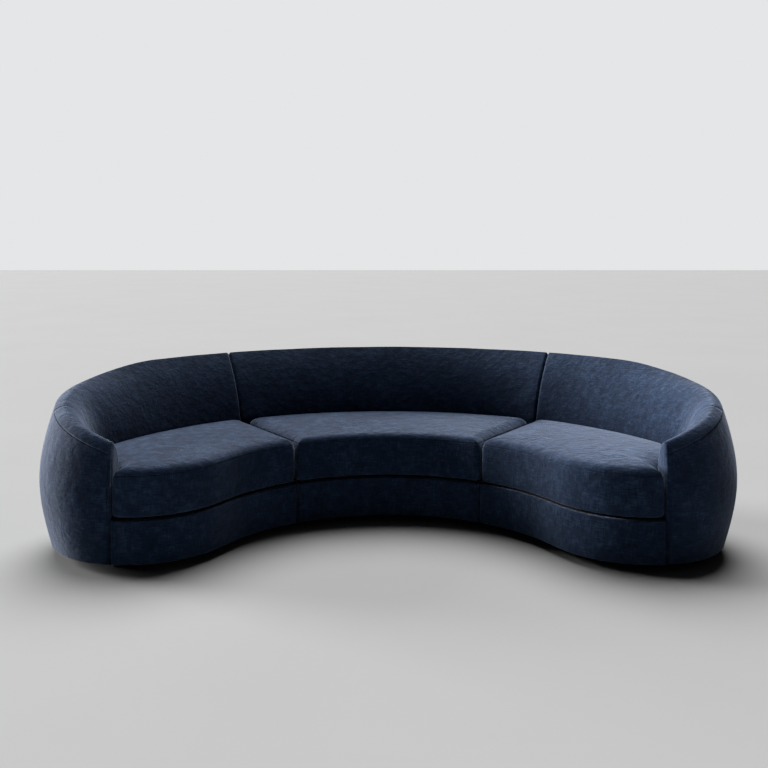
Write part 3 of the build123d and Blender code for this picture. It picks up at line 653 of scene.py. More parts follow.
class FinishGraph(Graph):
    """The node tree of one finish, with its shader and the object's own coordinates."""

    def __init__(self, name: str) -> None:
        """Starts a material with a shader and an output.

        Args:
            name: Name of the material.
        """
        self.material = bpy.data.materials.new(name)
        super().__init__(self.material)
        self.shader = self.node("ShaderNodeBsdfPrincipled")
        self.node("ShaderNodeOutputMaterial", Surface=self.shader.outputs["BSDF"])
        self.place = self.node("ShaderNodeTexCoord").outputs["Object"]

    def stretched(self, scale: tuple[float, float, float]) -> bpy.types.NodeSocket:
        """The object's own coordinates, stretched along its axes."""
        made = self.node("ShaderNodeVectorMath", {"operation": "MULTIPLY"}, _0=self.place, _1=scale)
        return made.outputs[0]

    def cloud(self, scale: tuple[float, float, float], detail: float, rough: float = 0.55) -> Value:
        """Noise of a size along each axis.

        Args:
            scale: Spots in a metre along each axis.
            detail: Number of finer layers.
            rough: Strength of the finer layers.

        Returns:
            The noise, around a middle of 0.5.
        """
        place = self.stretched(scale)
        made = self.node("ShaderNodeTexNoise", Vector=place, Scale=1.0, Detail=detail, Roughness=rough)
        return Value(self, made.outputs[0])

    def upward(self) -> Value:
        """How far the surface faces up.

        Returns:
            A value from 0 on upright and hanging faces to 1 on level ones.
        """
        facing = self.node("ShaderNodeTexCoord").outputs["Normal"]
        height = self.node("ShaderNodeSeparateXYZ", Vector=facing).outputs["Z"]
        return self.maths("MAXIMUM", Value(self, height), 0.0)

    def ramp(self, value: Value, stops: Sequence[tuple[float, Colour]]) -> bpy.types.NodeSocket:
        """Colour that follows a value through stops."""
        return self.node("ShaderNodeValToRGB", {"stops": stops}, Fac=value).outputs[0]

    def bump(self, height: Value, depth: float, strength: float) -> bpy.types.NodeSocket:
        """Normal of a fine relief."""
        return self.node("ShaderNodeBump", Height=height, Distance=depth, Strength=strength).outputs[0]

    def dress(self, **sockets: object) -> bpy.types.Material:
        """Feeds the shader's sockets.

        Args:
            sockets: Values or links, by the sockets' names with _ for a space.

        Returns:
            The finished material.
        """
        for key, value in sockets.items():
            self.feed(self.shader.inputs[key.replace("_", " ")], value)
        return self.material


def set_stops(ramp: bpy.types.ColorRamp, stops: Sequence[tuple[float, Colour]]) -> None:
    """Gives a ramp its positions and colours.

    Args:
        ramp: The ramp, with two stops of its own.
        stops: The positions and colours in order.
    """
    while len(ramp.elements) < len(stops):
        ramp.elements.new(1.0)
    for element, (position, colour) in zip(ramp.elements, stops):
        element.position = position
        element.color = (*colour, 1.0)


@dataclass(frozen=True)
class NavyVelvet:
    """Washed velvet: a short pile that is mottled where it lies in different directions."""

    deep: Colour = (0.0025, 0.0072, 0.0200)
    body: Colour = (0.0075, 0.0210, 0.0540)
    worn: Colour = (0.0310, 0.0600, 0.1180)
    bloom: Colour = (0.50, 0.575, 0.74)
    bloom_weight: float = 0.45
    bloom_roughness: float = 0.40

    def material(self) -> bpy.types.Material:
        """Makes the material.

        Returns:
            The material.
        """
        graph = FinishGraph("navy_velvet")
        patches = graph.cloud((8.0, 8.0, 8.0), 3.0)
        mottle = graph.cloud((24.0, 34.0, 30.0), 5.0, 0.6)
        weft = graph.cloud((28.0, 28.0, 240.0), 3.0, 0.6)
        warp = graph.cloud((240.0, 240.0, 28.0), 3.0, 0.6)
        pile = graph.cloud((1200.0, 1200.0, 1200.0), 2.0)
        level = graph.upward() ** 3.0
        crush = graph.cloud((19.0, 24.0, 19.0), 5.0, 0.62)
        nap = patches * 0.16 + mottle * 0.26 + weft * 0.31 + warp * 0.27 + (crush - 0.5) * level * 0.25
        tint = graph.ramp(nap, [(0.38, self.deep), (0.50, self.body), (0.64, self.worn)])
        weave = weft * 0.10 + warp * 0.10
        relief = patches * 0.5 + mottle * 0.6 + weave + pile * 0.012 + crush * level * 1.4
        return graph.dress(
            Base_Color=tint,
            Roughness=0.98 - nap * 0.22,
            Specular_IOR_Level=0.18,
            Sheen_Weight=self.bloom_weight,
            Sheen_Roughness=self.bloom_roughness,
            Sheen_Tint=self.bloom,
            Normal=graph.bump(relief, 0.012, 0.6),
        )


@dataclass(frozen=True)
class WovenCloth:
    """A plain flat cloth: platform cloth, lining or the open cloth below the seat."""

    name: str
    dark: Colour
    light: Colour
    threads: float
    thread_shape: float = 0.06

    def material(self) -> bpy.types.Material:
        """Makes the material.

        Returns:
            The material.
        """
        graph = FinishGraph(self.name)
        fine, drawn = self.threads, self.threads * self.thread_shape
        warp = graph.cloud((fine, drawn, fine), 2.0)
        weft = graph.cloud((drawn, fine, fine), 2.0)
        patches = graph.cloud((12.0, 12.0, 12.0), 4.0)
        tone = warp * 0.35 + weft * 0.35 + patches * 0.3
        return graph.dress(
            Base_Color=graph.ramp(tone, [(0.35, self.dark), (0.65, self.light)]),
            Roughness=0.95 - tone * 0.2,
            Specular_IOR_Level=0.2,
            Sheen_Weight=0.03,
            Normal=graph.bump(warp + weft, 0.0006, 0.5),
        )


@dataclass(frozen=True)
class Plywood:
    """Birch plywood with long grain and a few darker streaks."""

    pale: Colour = (0.55, 0.38, 0.22)
    brown: Colour = (0.32, 0.19, 0.09)

    def material(self) -> bpy.types.Material:
        """Makes the material.

        Returns:
            The material.
        """
        graph = FinishGraph("plywood")
        grain = graph.cloud((5.0, 60.0, 160.0), 5.0, 0.6)
        pores = graph.cloud((60.0, 700.0, 700.0), 3.0)
        tone = grain * 0.7 + pores * 0.3
        return graph.dress(
            Base_Color=graph.ramp(tone, [(0.36, self.brown), (0.56, self.pale)]),
            Roughness=0.55 + pores * 0.3,
            Normal=graph.bump(tone, 0.0005, 0.3),
        )


@dataclass(frozen=True)
class ZincSteel:
    """Bright zinc-plated steel of the connector plates and the screws."""

    bright: Colour = (0.62, 0.63, 0.65)
    dull: Colour = (0.38, 0.39, 0.42)

    def material(self) -> bpy.types.Material:
        """Makes the material.

        Returns:
            The material.
        """
        graph = FinishGraph("zinc_steel")
        spangle = graph.cloud((180.0, 180.0, 180.0), 4.0)
        brushed = graph.cloud((900.0, 60.0, 900.0), 2.0)
        return graph.dress(
            Base_Color=graph.ramp(spangle, [(0.35, self.dull), (0.65, self.bright)]),
            Metallic=1.0,
            Roughness=0.28 + brushed * 0.25,
            Normal=graph.bump(brushed, 0.0002, 0.2),
        )


@dataclass(frozen=True)
class MouldedPlastic:
    """Black moulded plastic of the feet, with a fine texture and scuffs."""

    black: Colour = (0.006, 0.006, 0.007)
    scuff: Colour = (0.028, 0.028, 0.030)

    def material(self) -> bpy.types.Material:
        """Makes the material.

        Returns:
            The material.
        """
        graph = FinishGraph("foot_plastic")
        grain = graph.cloud((900.0, 900.0, 900.0), 3.0)
        scuffs = graph.cloud((40.0, 40.0, 130.0), 5.0, 0.65)
        return graph.dress(
            Base_Color=graph.ramp(scuffs, [(0.45, self.black), (0.75, self.scuff)]),
            Roughness=0.42 + grain * 0.25,
            Normal=graph.bump(grain, 0.0003, 0.35),
        )


@dataclass(frozen=True)
class ElasticWebbing:
    """Seat webbing: ribbed along its length."""

    dark: Colour = (0.010, 0.010, 0.012)
    pale: Colour = (0.10, 0.095, 0.085)

    def material(self) -> bpy.types.Material:
        """Makes the material.

        Returns:
            The material.
        """
        graph = FinishGraph("webbing")
        ribs = graph.cloud((260.0, 30.0, 260.0), 2.0)
        threads = graph.cloud((900.0, 900.0, 900.0), 2.0)
        return graph.dress(
            Base_Color=graph.ramp(ribs * 0.6 + threads * 0.4, [(0.4, self.dark), (0.62, self.pale)]),
            Roughness=0.9 - threads * 0.15,
            Normal=graph.bump(ribs + threads, 0.0006, 0.5),
        )


@dataclass(frozen=True)
class StudioFloor:
    """Plain pale floor."""

    pale: Colour = (0.260, 0.260, 0.260)
    soft: Colour = (0.273, 0.273, 0.273)

    def material(self) -> bpy.types.Material:
        """Makes the material.

        Returns:
            The material.
        """
        graph = FinishGraph("studio_floor")
        drift = graph.cloud((0.8, 0.8, 0.8), 3.0)
        return graph.dress(
            Base_Color=graph.ramp(drift, [(0.3, self.pale), (0.7, self.soft)]),
            Roughness=0.78 + drift * 0.1,
            Specular_IOR_Level=0.25,
        )


class Finish(Enum):
    """The finishes, named as the record's material slots."""

    VELVET = "velvet"
    DECK = "deck_cloth"
    LINING = "lining_cloth"
    DUST = "dust_cloth"
    WEBBING = "webbing"
    PLYWOOD = "plywood"
    STEEL = "steel"
    PLASTIC = "foot_plastic"


@dataclass
class Workshop:
    """Holds the materials and puts finished pieces on their bodies."""

    materials: dict[Finish, bpy.types.Material] = field(default_factory=dict)

    def __post_init__(self) -> None:
        """Makes every material once."""
        makers = {
            Finish.VELVET: NavyVelvet(),
            # The deck cloth is near black partly as its own colour and partly as painted shade: the gap
            # between the cushion and the base band shows it as a dark line.
            Finish.DECK: WovenCloth("deck_cloth", (0.0015, 0.002, 0.004), (0.005, 0.006, 0.011), 900.0),
            Finish.LINING: WovenCloth("lining_cloth", (0.006, 0.006, 0.008), (0.022, 0.023, 0.028), 700.0),
            Finish.DUST: WovenCloth("dust_cloth", (0.005, 0.005, 0.006), (0.020, 0.020, 0.022), 500.0),
            Finish.WEBBING: ElasticWebbing(),
            Finish.PLYWOOD: Plywood(),
            Finish.STEEL: ZincSteel(),
            Finish.PLASTIC: MouldedPlastic(),
        }
        self.materials = {finish: maker.material() for finish, maker in makers.items()}

    def fit(self, piece: bpy.types.Object, body: str, finish: Finish, *nodes: str) -> bpy.types.Object:
        """Finishes a new piece and puts it on a body in place of its nodes.

        Args:
            piece: The new piece.
            body: The body that it moves with.
            finish: Its finish.
            nodes: The nodes that it stands for.

        Returns:
            The piece.
        """
        piece.data.materials.clear()
        piece.data.materials.append(self.materials[finish])
        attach(piece, body)
        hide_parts(*nodes)
        LOG.info("%s: %d vertices on %s", piece.name, len(piece.data.vertices), body)
        return piece

    def dress_node(self, node: str, finish: Finish) -> None:
        """Gives a node that stays as it is its finish.

        Args:
            node: The node.
            finish: Its finish.
        """
        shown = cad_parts[node]
        shown.data.materials.clear()
        shown.data.materials.append(self.materials[finish])
        LOG.info("%s: kept, in %s", node, finish.value)


# Soft cushions


def soft_corners(points: np.ndarray, corners: Iterable[tuple[int, float]]) -> np.ndarray:
    """Rounds corners of a closed outline.

    Args:
        points: The outline, closely spaced.
        corners: Index of each corner and how far from it the rounding starts.

    Returns:
        The outline with as many points.
    """
    made = points.copy()
    total = len(points)
    for corner, reach in corners:
        walk = {0: 0.0}
        ends = {}
        for way in (-1, 1):
            length, step = 0.0, 0
            while length < reach:
                here = points[(corner + step) % total]
                step += way
                length += float(np.linalg.norm(points[(corner + step) % total] - here))
                walk[step] = way * length
            ends[way] = step
        before = points[(corner + ends[-1]) % total]
        after = points[(corner + ends[1]) % total]
        first, last = walk[ends[-1]], walk[ends[1]]
        for step, length in walk.items():
            share = (length - first) / (last - first)
            bend = (1 - share) ** 2 * before + 2 * share * (1 - share) * points[corner] + share ** 2 * after
            made[(corner + step) % total] = bend
    return made


def depth_inside(points: np.ndarray, outline: np.ndarray) -> tuple[np.ndarray, ...]:
    """Distance of points inside an anticlockwise outline.

    Args:
        points: Points in plan.
        outline: The closed outline.

    Returns:
        The distances, the nearest points of the outline, the directions inwards from there and
        the indexes of the nearest stretches.
    """
    start = outline
    run = np.roll(outline, -1, axis=0) - start
    square = np.maximum((run ** 2).sum(axis=1), 1e-12)
    inward = np.column_stack([-run[:, 1], run[:, 0]]) / np.sqrt(square)[:, None]
    depth, foot, way = np.empty(len(points)), np.empty_like(points), np.empty_like(points)
    nearest = np.empty(len(points), int)
    for low in range(0, len(points), 3000):
        part = slice(low, low + 3000)
        away = points[part, None, :] - start[None]
        share = np.clip((away * run[None]).sum(axis=2) / square, 0, 1)
        gap = away - share[..., None] * run[None]
        distance = (gap ** 2).sum(axis=2)
        best = distance.argmin(axis=1)
        rows = np.arange(len(best))
        nearest[part] = best
        foot[part] = start[best] + share[rows, best][:, None] * run[best]
        near = np.sqrt(distance[rows, best])
        side = np.sign((gap[rows, best] * inward[best]).sum(axis=1))
        depth[part] = near * np.where(side == 0, 1, side)
        plain = near < 1e-4
        from_foot = gap[rows, best] / np.maximum(near, 1e-9)[:, None]
        way[part] = np.where(plain[:, None], inward[best], from_foot)
        way[part] *= np.where(plain, 1, np.where(side == 0, 1, side))[:, None]
    return depth, foot, way, nearest


@dataclass
class SeatCushion:
    """Loose boxed seat cushion, filled by a cloth simulation."""

    workshop: Workshop
    side: Side
    wall_room: float = 0.005
    nose_room: float = 0.001
    shrink: float = 0.004
    fade_points: int = 9
    top_rounding: float = 0.029
    end_rounding: float = 0.064
    wall_rounding: float = 0.024
    wall_lean: float = 0.011
    lean_reach: float = 0.08
    toe_rounding: float = 0.015
    end_toe: float = 0.026
    joint_corner: float = 0.022
    nose_corner: float = 0.014
    arm_corner: float = 0.060
    back_corner: float = 0.085
    voxel: float = 0.011
    snap_share: float = 0.6
    swell: float = 0.008
    swell_percentile: float = 98.0
    side_swell: float = 0.004
    pressure: float = 4.0
    stiffness: float = 25.0
    bending: float = 2.0
    frames: int = 20
    smoothing: int = 4
    crown: float = 0.017
    end_crown: float = 0.031
    crown_reach: float = 0.09
    crown_power: int = 4
    seam_height: float = 0.404
    seam_depth: float = 0.0022
    seam_width: float = 0.0022

    def outline(self) -> tuple[np.ndarray, np.ndarray, np.ndarray]:
        """Plan outline before filling.

        Returns:
            The outline with its corners rounded, and for each of its points how far it belongs
            to the inner wall and to an end, from 0 to 1.
        """
        wall = PLAN.back_spread + PLAN.pad_lean + self.wall_room
        joint = PLAN.joint_gap + self.shrink
        nose = PLAN.end_panel + self.nose_room + self.shrink
        points, corners = PLAN.seat_outline(self.side, self.shrink, wall, joint, nose)
        reaches = [self.joint_corner, self.nose_corner, self.arm_corner, self.back_corner]
        if self.side is Side.CENTRE:
            reaches = [self.joint_corner, self.joint_corner, self.back_corner, self.back_corner]
        shares = np.zeros((2, len(points)))
        shares[0, corners[2]:corners[3]] = 1.0
        shares[1, corners[1]:corners[2]] = 1.0
        shares[1, corners[3]:] = 1.0
        fade = self.fade_points
        window = 2 * fade + 1
        around = np.concatenate([shares[:, -fade:], shares, shares[:, :fade]], axis=1)
        walled, ended = (np.convolve(row, np.full(window, 1 / window), "valid") for row in around)
        return soft_corners(points, zip(corners, reaches)), walled, ended

    def block(self) -> bpy.types.Object:
        """Upright block over the outline.

        Returns:
            The block, with an even mesh.
        """
        flat, _, _ = self.outline()
        low = np.column_stack([flat, np.full(len(flat), DECK_HIGH)])
        high = np.column_stack([flat, np.full(len(flat), PLAN.seat_height)])
        made = lofted(self.side.node("cushion_cover"), [low, high])
        even = made.modifiers.new("even", "REMESH")
        even.mode = "VOXEL"
        even.voxel_size = self.voxel
        settle(made)
        return made

    def shape(self, made: bpy.types.Object) -> None:
        """Rounds the block's edges and crowns its top.

        Args:
            made: The block.
        """
        points = coordinates(made)
        outline, walled, ended = self.outline()
        depth, foot, way, nearest = depth_inside(points[:, :2], outline)
        walled, ended = walled[nearest], ended[nearest]
        near = self.voxel * self.snap_share
        depth[depth < near] = 0.0
        rise = points[:, 2].copy()
        rise[rise > PLAN.seat_height - near] = PLAN.seat_height
        rise[rise < DECK_HIGH + near] = DECK_HIGH
        top = blend(blend(self.top_rounding, self.end_rounding, ended), self.wall_rounding, walled)
        toe = blend(self.toe_rounding, self.end_toe, ended)
        edges = ((PLAN.seat_height, top, 1), (DECK_HIGH, toe, -1))
        for level, radius, up in edges:
            out = radius - depth
            over = up * (rise - level) + radius
            turned = (out > 0) & (over > 0)
            scale = np.maximum(out, over) / np.maximum(np.hypot(out, over), 1e-9)
            depth = np.where(turned, radius - out * scale, depth)
            rise = np.where(turned, level + up * (over * scale - radius), rise)
        upper = np.clip((rise - DECK_HIGH) / (PLAN.seat_height - DECK_HIGH), 0, 1)
        crown = self.crown if self.side is Side.CENTRE else self.end_crown
        rise += crown * upper ** self.crown_power * (1 - np.exp(-np.maximum(depth, 0) / self.crown_reach))
        depth -= self.wall_lean * walled * upper * np.exp(-np.maximum(depth, 0) / self.lean_reach)
        flat = foot + way * depth[:, None]
        set_coordinates(made, np.column_stack([flat, rise]))

    def fill(self, made: bpy.types.Object) -> None:
        """Blows the cover up a little, as its filling does, and keeps its underside flat.

        Args:
            made: The shaped cover.
        """
        start = coordinates(made)
        facing = normals(made)
        cloth = made.modifiers.new("filling", "CLOTH")
        cloth.settings.use_pressure = True
        cloth.settings.uniform_pressure_force = self.pressure
        cloth.settings.tension_stiffness = self.stiffness
        cloth.settings.compression_stiffness = self.stiffness
        cloth.settings.bending_stiffness = self.bending
        cloth.settings.effector_weights.gravity = 0.0
        cloth.point_cache.frame_end = self.frames
        scene = bpy.context.scene
        for step in range(1, self.frames + 1):
            scene.frame_set(step)
        evaluated = made.evaluated_get(bpy.context.evaluated_depsgraph_get())
        flat = np.empty(len(start) * 3)
        evaluated.data.vertices.foreach_get("co", flat)
        move = flat.reshape(-1, 3) - start
        outward = np.maximum((move * facing).sum(axis=1), 0.0)
        outward *= self.swell / max(float(np.percentile(outward, self.swell_percentile)), self.swell)
        most = blend(self.side_swell, self.swell, np.abs(facing[:, 2]))
        move = facing * np.minimum(outward, most)[:, None]
        made.modifiers.remove(cloth)
        scene.frame_set(1)
        filled = start + move
        filled[:, 2] = np.maximum(filled[:, 2], DECK_HIGH + REST_GAP)
        set_coordinates(made, filled)

    def sew(self, made: bpy.types.Object) -> None:
        """Draws the seam in along the cushion's sides.

        Args:
            made: The filled cushion.
        """
        shaped = bmesh.new()
        shaped.from_mesh(made.data)
        for step in (-2, -1, 0, 1, 2):
            bmesh.ops.bisect_plane(
                shaped,
                geom=[*shaped.verts, *shaped.edges, *shaped.faces],
                dist=1e-5,
                plane_co=(0, 0, self.seam_height + step * self.seam_width),
                plane_no=(0, 0, 1),
            )
        shaped.normal_update()
        for vertex in shaped.verts:
            away = (vertex.co.z - self.seam_height) / self.seam_width
            if abs(away) < 3:
                vertex.co -= vertex.normal * self.seam_depth * math.exp(-away ** 2)
        shaped.to_mesh(made.data)
        shaped.free()
        made.data.shade_smooth()

    def build(self) -> bpy.types.Object:
        """Makes the cushion and puts it in place.

        Returns:
            The cushion.
        """
        made = self.block()
        self.shape(made)
        self.fill(made)
        smooth = made.modifiers.new("even", "SMOOTH")
        smooth.factor = 0.5
        smooth.iterations = self.smoothing
        finer = made.modifiers.new("finer", "SUBSURF")
        finer.levels = 1
        settle(made)
        set_coordinates(made, self.side.turned(coordinates(made)))
        if self.side is Side.LEFT:
            made.data.flip_normals()
        self.sew(made)
        self.workshop.fit(made, self.side.cushion, Finish.VELVET, self.side.node("seat_cushion"))
        return made


# Upholstered sections


@dataclass
class Section:
    """The fixed upholstery and the frame of one section."""

    workshop: Workshop
    side: Side
    spacing: float = 0.022
    roll: float = 0.009
    roll_out: float = 0.001
    roll_end: float = -50.0
    nose_rise: float = 0.9
    tuck_in: float = 0.0126
    tuck_drop: float = 0.032
    heel_in: float = 0.041
    heel_drop: float = 0.060
    belly: float = 0.010
    panel: float = 0.016
    panel_edge: float = 0.005
    panel_drop: float = 0.009
    panel_tuck: float = 0.012
    hem: float = 0.009
    joint_round: float = 0.013
    seam_round: float = 0.007
    tip_round: float = 0.009
    seam_gap: float = 0.0006
    end_drop: float = 0.030
    end_inset: float = 0.002
    cover: float = 0.015
    cover_round: float = 0.009
    cover_end: float = 0.018
    cover_belly: float = 0.002
    cover_room: float = 0.0012
    cover_seed: float = 3.0
    deck_edge: float = 0.004
    deck_border: float = 0.070
    deck_inset: float = 0.016
    deck_room: float = 0.006
    nose_room: float = 0.001
    uneven: float = 0.0012
    cover_uneven: float = 0.00072
    uneven_wave: float = 0.16
    crease: float = math.radians(60)
    deck_crease: float = math.radians(50)
    dust_crease: float = math.radians(40)
    # Inset of each ring of the dust cloth and its drop below the underside
    dust_form: tuple[tuple[float, float], ...] = (
        (0.018, 0.0001),
        (0.018, 0.0007),
        (0.050, 0.0010),
        (0.110, 0.0013),
    )

    def pad_profile(self, cut: Station, inset: float) -> np.ndarray:
        """Profile of the padded inner back or arm, from its toe over the rim to its hidden back.

        Args:
            cut: The cut through the wall.
            inset: How far the shown part is drawn in.

        Returns:
            Distances out and heights, one row for each point.
        """
        full = 1 - (1 - cut.fall) ** PLAN.fullness_power
        toe = np.array([cut.rim - cut.spread - PLAN.pad_lean, DECK_LOW])
        low = np.array([cut.rim - cut.spread, PLAN.seat_height])
        shares = [blend(*ends, full) for ends in zip(PLAN.back_seat_handle, PLAN.nose_seat_handle)]
        rise = np.array([cut.spread, cut.height - PLAN.seat_height]) * shares
        reach = cut.spread * blend(PLAN.back_rim_handle, PLAN.nose_rim_handle, cut.fall ** 2)
        crest = np.array([-reach, blend(PLAN.back_crest, PLAN.nose_crest, full)])
        lean = math.degrees(math.atan2(-crest[1], -crest[0])) + 90.0
        drop = self.roll * (1 - self.nose_rise * full)
        pivot = np.array([cut.rim + self.roll_out - self.roll, cut.height - drop])
        top = pivot + self.roll * np.array([math.cos(math.radians(lean)), math.sin(math.radians(lean))])
        face = handled([low, low + rise, top + crest, top], 36)
        edge = turned_arc(pivot, self.roll, lean, self.roll_end, 9)
        tuck = np.array([cut.rim - self.tuck_in, cut.height - self.tuck_drop])
        heel = cut.rim - cut.spread + self.heel_in
        hidden = np.array([tuck, [heel, PLAN.seat_height - self.heel_drop], [heel, DECK_LOW]])
        profile = np.concatenate([straight(toe, low, 10), face[:-1], edge, hidden])
        shown = np.ones(len(profile))
        shown[-len(hidden):] = 0.0
        return drawn_in(profile, shown, inset)

    def outer_reach(self, cut: Station, levels: np.ndarray) -> np.ndarray:
        """Distance out to the outer face, an arc from the foot to the rim that the padding fills out.

        Args:
            cut: The cut through the wall.
            levels: Heights between foot and rim.

        Returns:
            The distance at each height.
        """
        foot = np.array([cut.rim + PLAN.foot_out, PLAN.floor_gap])
        top = np.array([cut.rim, cut.height])
        middle = np.array([cut.rim + cut.bulge, (cut.height + PLAN.floor_gap) / 2])
        rows = np.array([2 * (middle - foot), 2 * (top - foot)])
        centre = np.linalg.solve(rows, [middle @ middle - foot @ foot, top @ top - foot @ foot])
        radius = float(np.linalg.norm(foot - centre))
        share = (levels - PLAN.floor_gap) / (cut.height - PLAN.floor_gap)
        padding = self.belly * np.sin(share * math.pi) ** 2
        return centre[0] + np.sqrt(radius ** 2 - (levels - centre[1]) ** 2) + padding

    def outer_profile(self, cut: Station, inset: float) -> np.ndarray:
        """Profile of the padded outer panel, from its hem up to the rim seam and back inside.

        Args:
            cut: The cut through the wall.
            inset: How far the shown part is drawn in.

        Returns:
            Distances out and heights, one row for each point.
        """
        low = PLAN.floor_gap + self.hem
        high = cut.height - self.panel_edge - self.panel_drop
        levels = np.linspace(low, high, 34)
        reach = self.outer_reach(cut, levels)
        hem_at = np.array([reach[0] - self.hem, low])
        hem = turned_arc(hem_at, self.hem, -90.0, -10.0, 6)
        slope = math.degrees(math.atan2(reach[-1] - reach[-2], levels[-1] - levels[-2]))
        edge_at = np.array([reach[-1] - self.panel_edge * math.cos(math.radians(slope)), levels[-1]])
        edge = turned_arc(edge_at, self.panel_edge, 10.0 - slope, 120.0, 7)
        inside = np.column_stack([reach - self.panel, levels])[::-4]
        inside[0] = (cut.rim - self.panel_tuck, cut.height - self.tuck_drop)
        bottom = np.array([[reach[0] - self.panel, PLAN.floor_gap]])
        face = np.column_stack([reach, levels])
        climb = np.concatenate([bottom, hem, face, edge, inside])
        shown = np.ones(len(climb))
        shown[0] = 0.0
        shown[-len(inside):] = 0.0
        return drawn_in(climb[::-1], shown[::-1], inset)

    def wall_piece(
        self, name: str, profile: Callable[[Station, float], np.ndarray], ends: tuple[WallEnd, WallEnd]
    ) -> bpy.types.Object:
        """Upholstered piece that runs along the wall.

        Args:
            name: Name of the piece.
            profile: Gives the closed profile of a cut, drawn in by an inset.
            ends: Where the piece starts and stops.

        Returns:
            The piece, slightly uneven.
        """
        rings = [cut.place(profile(cut, inset)) for cut, inset in wall_cuts(*ends, self.spacing)]
        made = lofted(self.side.node(name), [self.side.turned(ring) for ring in rings])
        soften_surface(made, self.uneven, self.uneven_wave, len(name))
        made.data.set_sharp_from_angle(angle=self.crease)
        return made

    def ends(self, last: float, gap: float, rounding: list[tuple[float, float]]) -> tuple[WallEnd, WallEnd]:
        """Ends of a wall piece that starts at the joint; the centre's has both ends at joints.

        Args:
            last: Angle at which an end section's piece stops.
            gap: How far it stops short of that angle.
            rounding: How it is finished there.

        Returns:
            The start and the end.
        """
        joint = WallEnd(PLAN.joint_angle, PLAN.joint_gap, round_end(self.joint_round))
        if self.side is Side.CENTRE:
            return WallEnd(-PLAN.joint_angle, PLAN.joint_gap, round_end(self.joint_round)), joint
        return joint, WallEnd(last, gap, rounding)

    def tip_rounding(self) -> list[tuple[float, float]]:
        """Rounding of the arm's end as far as the seam with its end panel."""
        front = np.linspace(PLAN.end_panel, self.tip_round, 6)
        return [(away - PLAN.end_panel, self.tip_inset(away)) for away in front]

    def tip_inset(self, away: float) -> float:
        """Inset of the arm's rounded end at a distance from its tip."""
        return self.tip_round - math.sqrt(self.tip_round ** 2 - (self.tip_round - away) ** 2)

    def build_wall(self) -> None:
        """Makes the padded back, the arm and the outer panel."""
        section, node = self.side.section, self.side.node
        seam = round_end(self.seam_round, 4)
        back_ends = self.ends(PLAN.arm_seam_angle, self.seam_gap, seam)
        back = self.wall_piece("back_cover", self.pad_profile, back_ends)
        self.workshop.fit(back, section, Finish.VELVET, node("back_pad"))
        outer_ends = self.ends(PLAN.nose_angle, 0.0, seam)
        outer = self.wall_piece("outer_cover", self.outer_profile, outer_ends)
        self.workshop.fit(outer, section, Finish.VELVET, node("outer_panel"))
        if self.side is Side.CENTRE:
            return
        arm_ends = (
            WallEnd(PLAN.arm_seam_angle, self.seam_gap, seam),
            WallEnd(PLAN.nose_angle, 0.0, self.tip_rounding()),
        )
        arm = self.wall_piece("arm_cover", self.pad_profile, arm_ends)
        self.workshop.fit(arm, section, Finish.VELVET, node("arm_pad"))

    def end_profile(self, inset: float) -> np.ndarray:
        """Profile of the arm's end panel.

        Args:
            inset: How far it is drawn in.

        Returns:
            Distances out and heights, one row for each point.
        """
        cut = PLAN.station(PLAN.nose_angle)
        sill = PANEL_HIGH + REST_GAP
        heel = cut.rim - cut.spread + self.heel_in + REST_GAP
        # The last three points of the pad's profile are its hidden back
        pad = self.pad_profile(cut, 0.0)[:-3]
        levels = np.linspace(cut.height - self.end_drop, sill, 24)
        outer = np.column_stack([self.outer_reach(cut, levels) - self.end_inset, levels])
        foot = straight(outer[-1], np.array([heel, sill]), 8)[1:]
        step = straight(np.array([heel, sill]), np.array([heel, DECK_LOW]), 8)
        sole = straight(np.array([heel, DECK_LOW]), pad[0], 4)
        profile = np.concatenate([pad, outer, foot, step, sole])
        return drawn_in(profile, np.ones(len(profile)), inset)

    def build_arm_end(self) -> None:
        """Makes the panel that closes the arm's end beside the cushion."""
        rings = []
        for away in np.linspace(PLAN.end_panel, 0.0, 6):
            cut = PLAN.station(PLAN.nose_angle, PLAN.end_panel - away + self.seam_gap / 2)
            rings.append(self.side.turned(cut.place(self.end_profile(self.tip_inset(away)))))
        made = lofted(self.side.node("arm_end_cover"), rings)
        made.data.set_sharp_from_angle(angle=self.crease)
        self.workshop.fit(made, self.side.section, Finish.VELVET, self.side.node("arm_end_panel"))

    def front_path(self) -> list[tuple[np.ndarray, np.ndarray, float]]:
        """Places along the section's front, from the joint to the nose or the other joint.

        Returns:
            Each place with its outward direction and the inset there.
        """
        gap = math.degrees(PLAN.joint_gap / PLAN.front_radius)
        rounding = [
            (math.degrees(away / PLAN.front_radius), inset) for away, inset in round_end(self.cover_end)
        ]
        centre, radius = PLAN.arc_centre, PLAN.front_radius
        edge = PLAN.joint_angle - gap if self.side is Side.CENTRE else PLAN.joint_angle + gap
        way = -1 if self.side is Side.CENTRE else 1
        turns = [(edge + way * away, inset) for away, inset in rounding]
        if self.side is Side.CENTRE:
            last = turns[-1][0]
            turns += [(angle, 0.0) for angle in np.linspace(last, -last, 44)[1:-1]]
            turns += [(-angle, inset) for angle, inset in reversed(turns[: len(rounding)])]
            return [(centre + along(angle) * radius, -along(angle), inset) for angle, inset in turns]
        turns += [(angle, 0.0) for angle in np.linspace(turns[-1][0], PLAN.bend_angle, 20)[1:]]
        path = [(centre + along(angle) * radius, -along(angle), inset) for angle, inset in turns]
        lobe = PLAN.lobe_radius
        start = PLAN.lobe_centre + along(PLAN.bend_angle + 180) * lobe
        for place in straight(path[-1][0], start, 6)[1:]:
            path.append((place, path[-1][1], 0.0))
        nose = swing(PLAN.nose_angle, lobe, PLAN.end_panel + self.cover_room)
        tip = [(nose + math.degrees(away / lobe), inset) for away, inset in round_end(self.cover_end)]
        lobe_turns = [(angle, 0.0) for angle in np.linspace(PLAN.bend_angle + 180, tip[-1][0], 36)[:-1]]
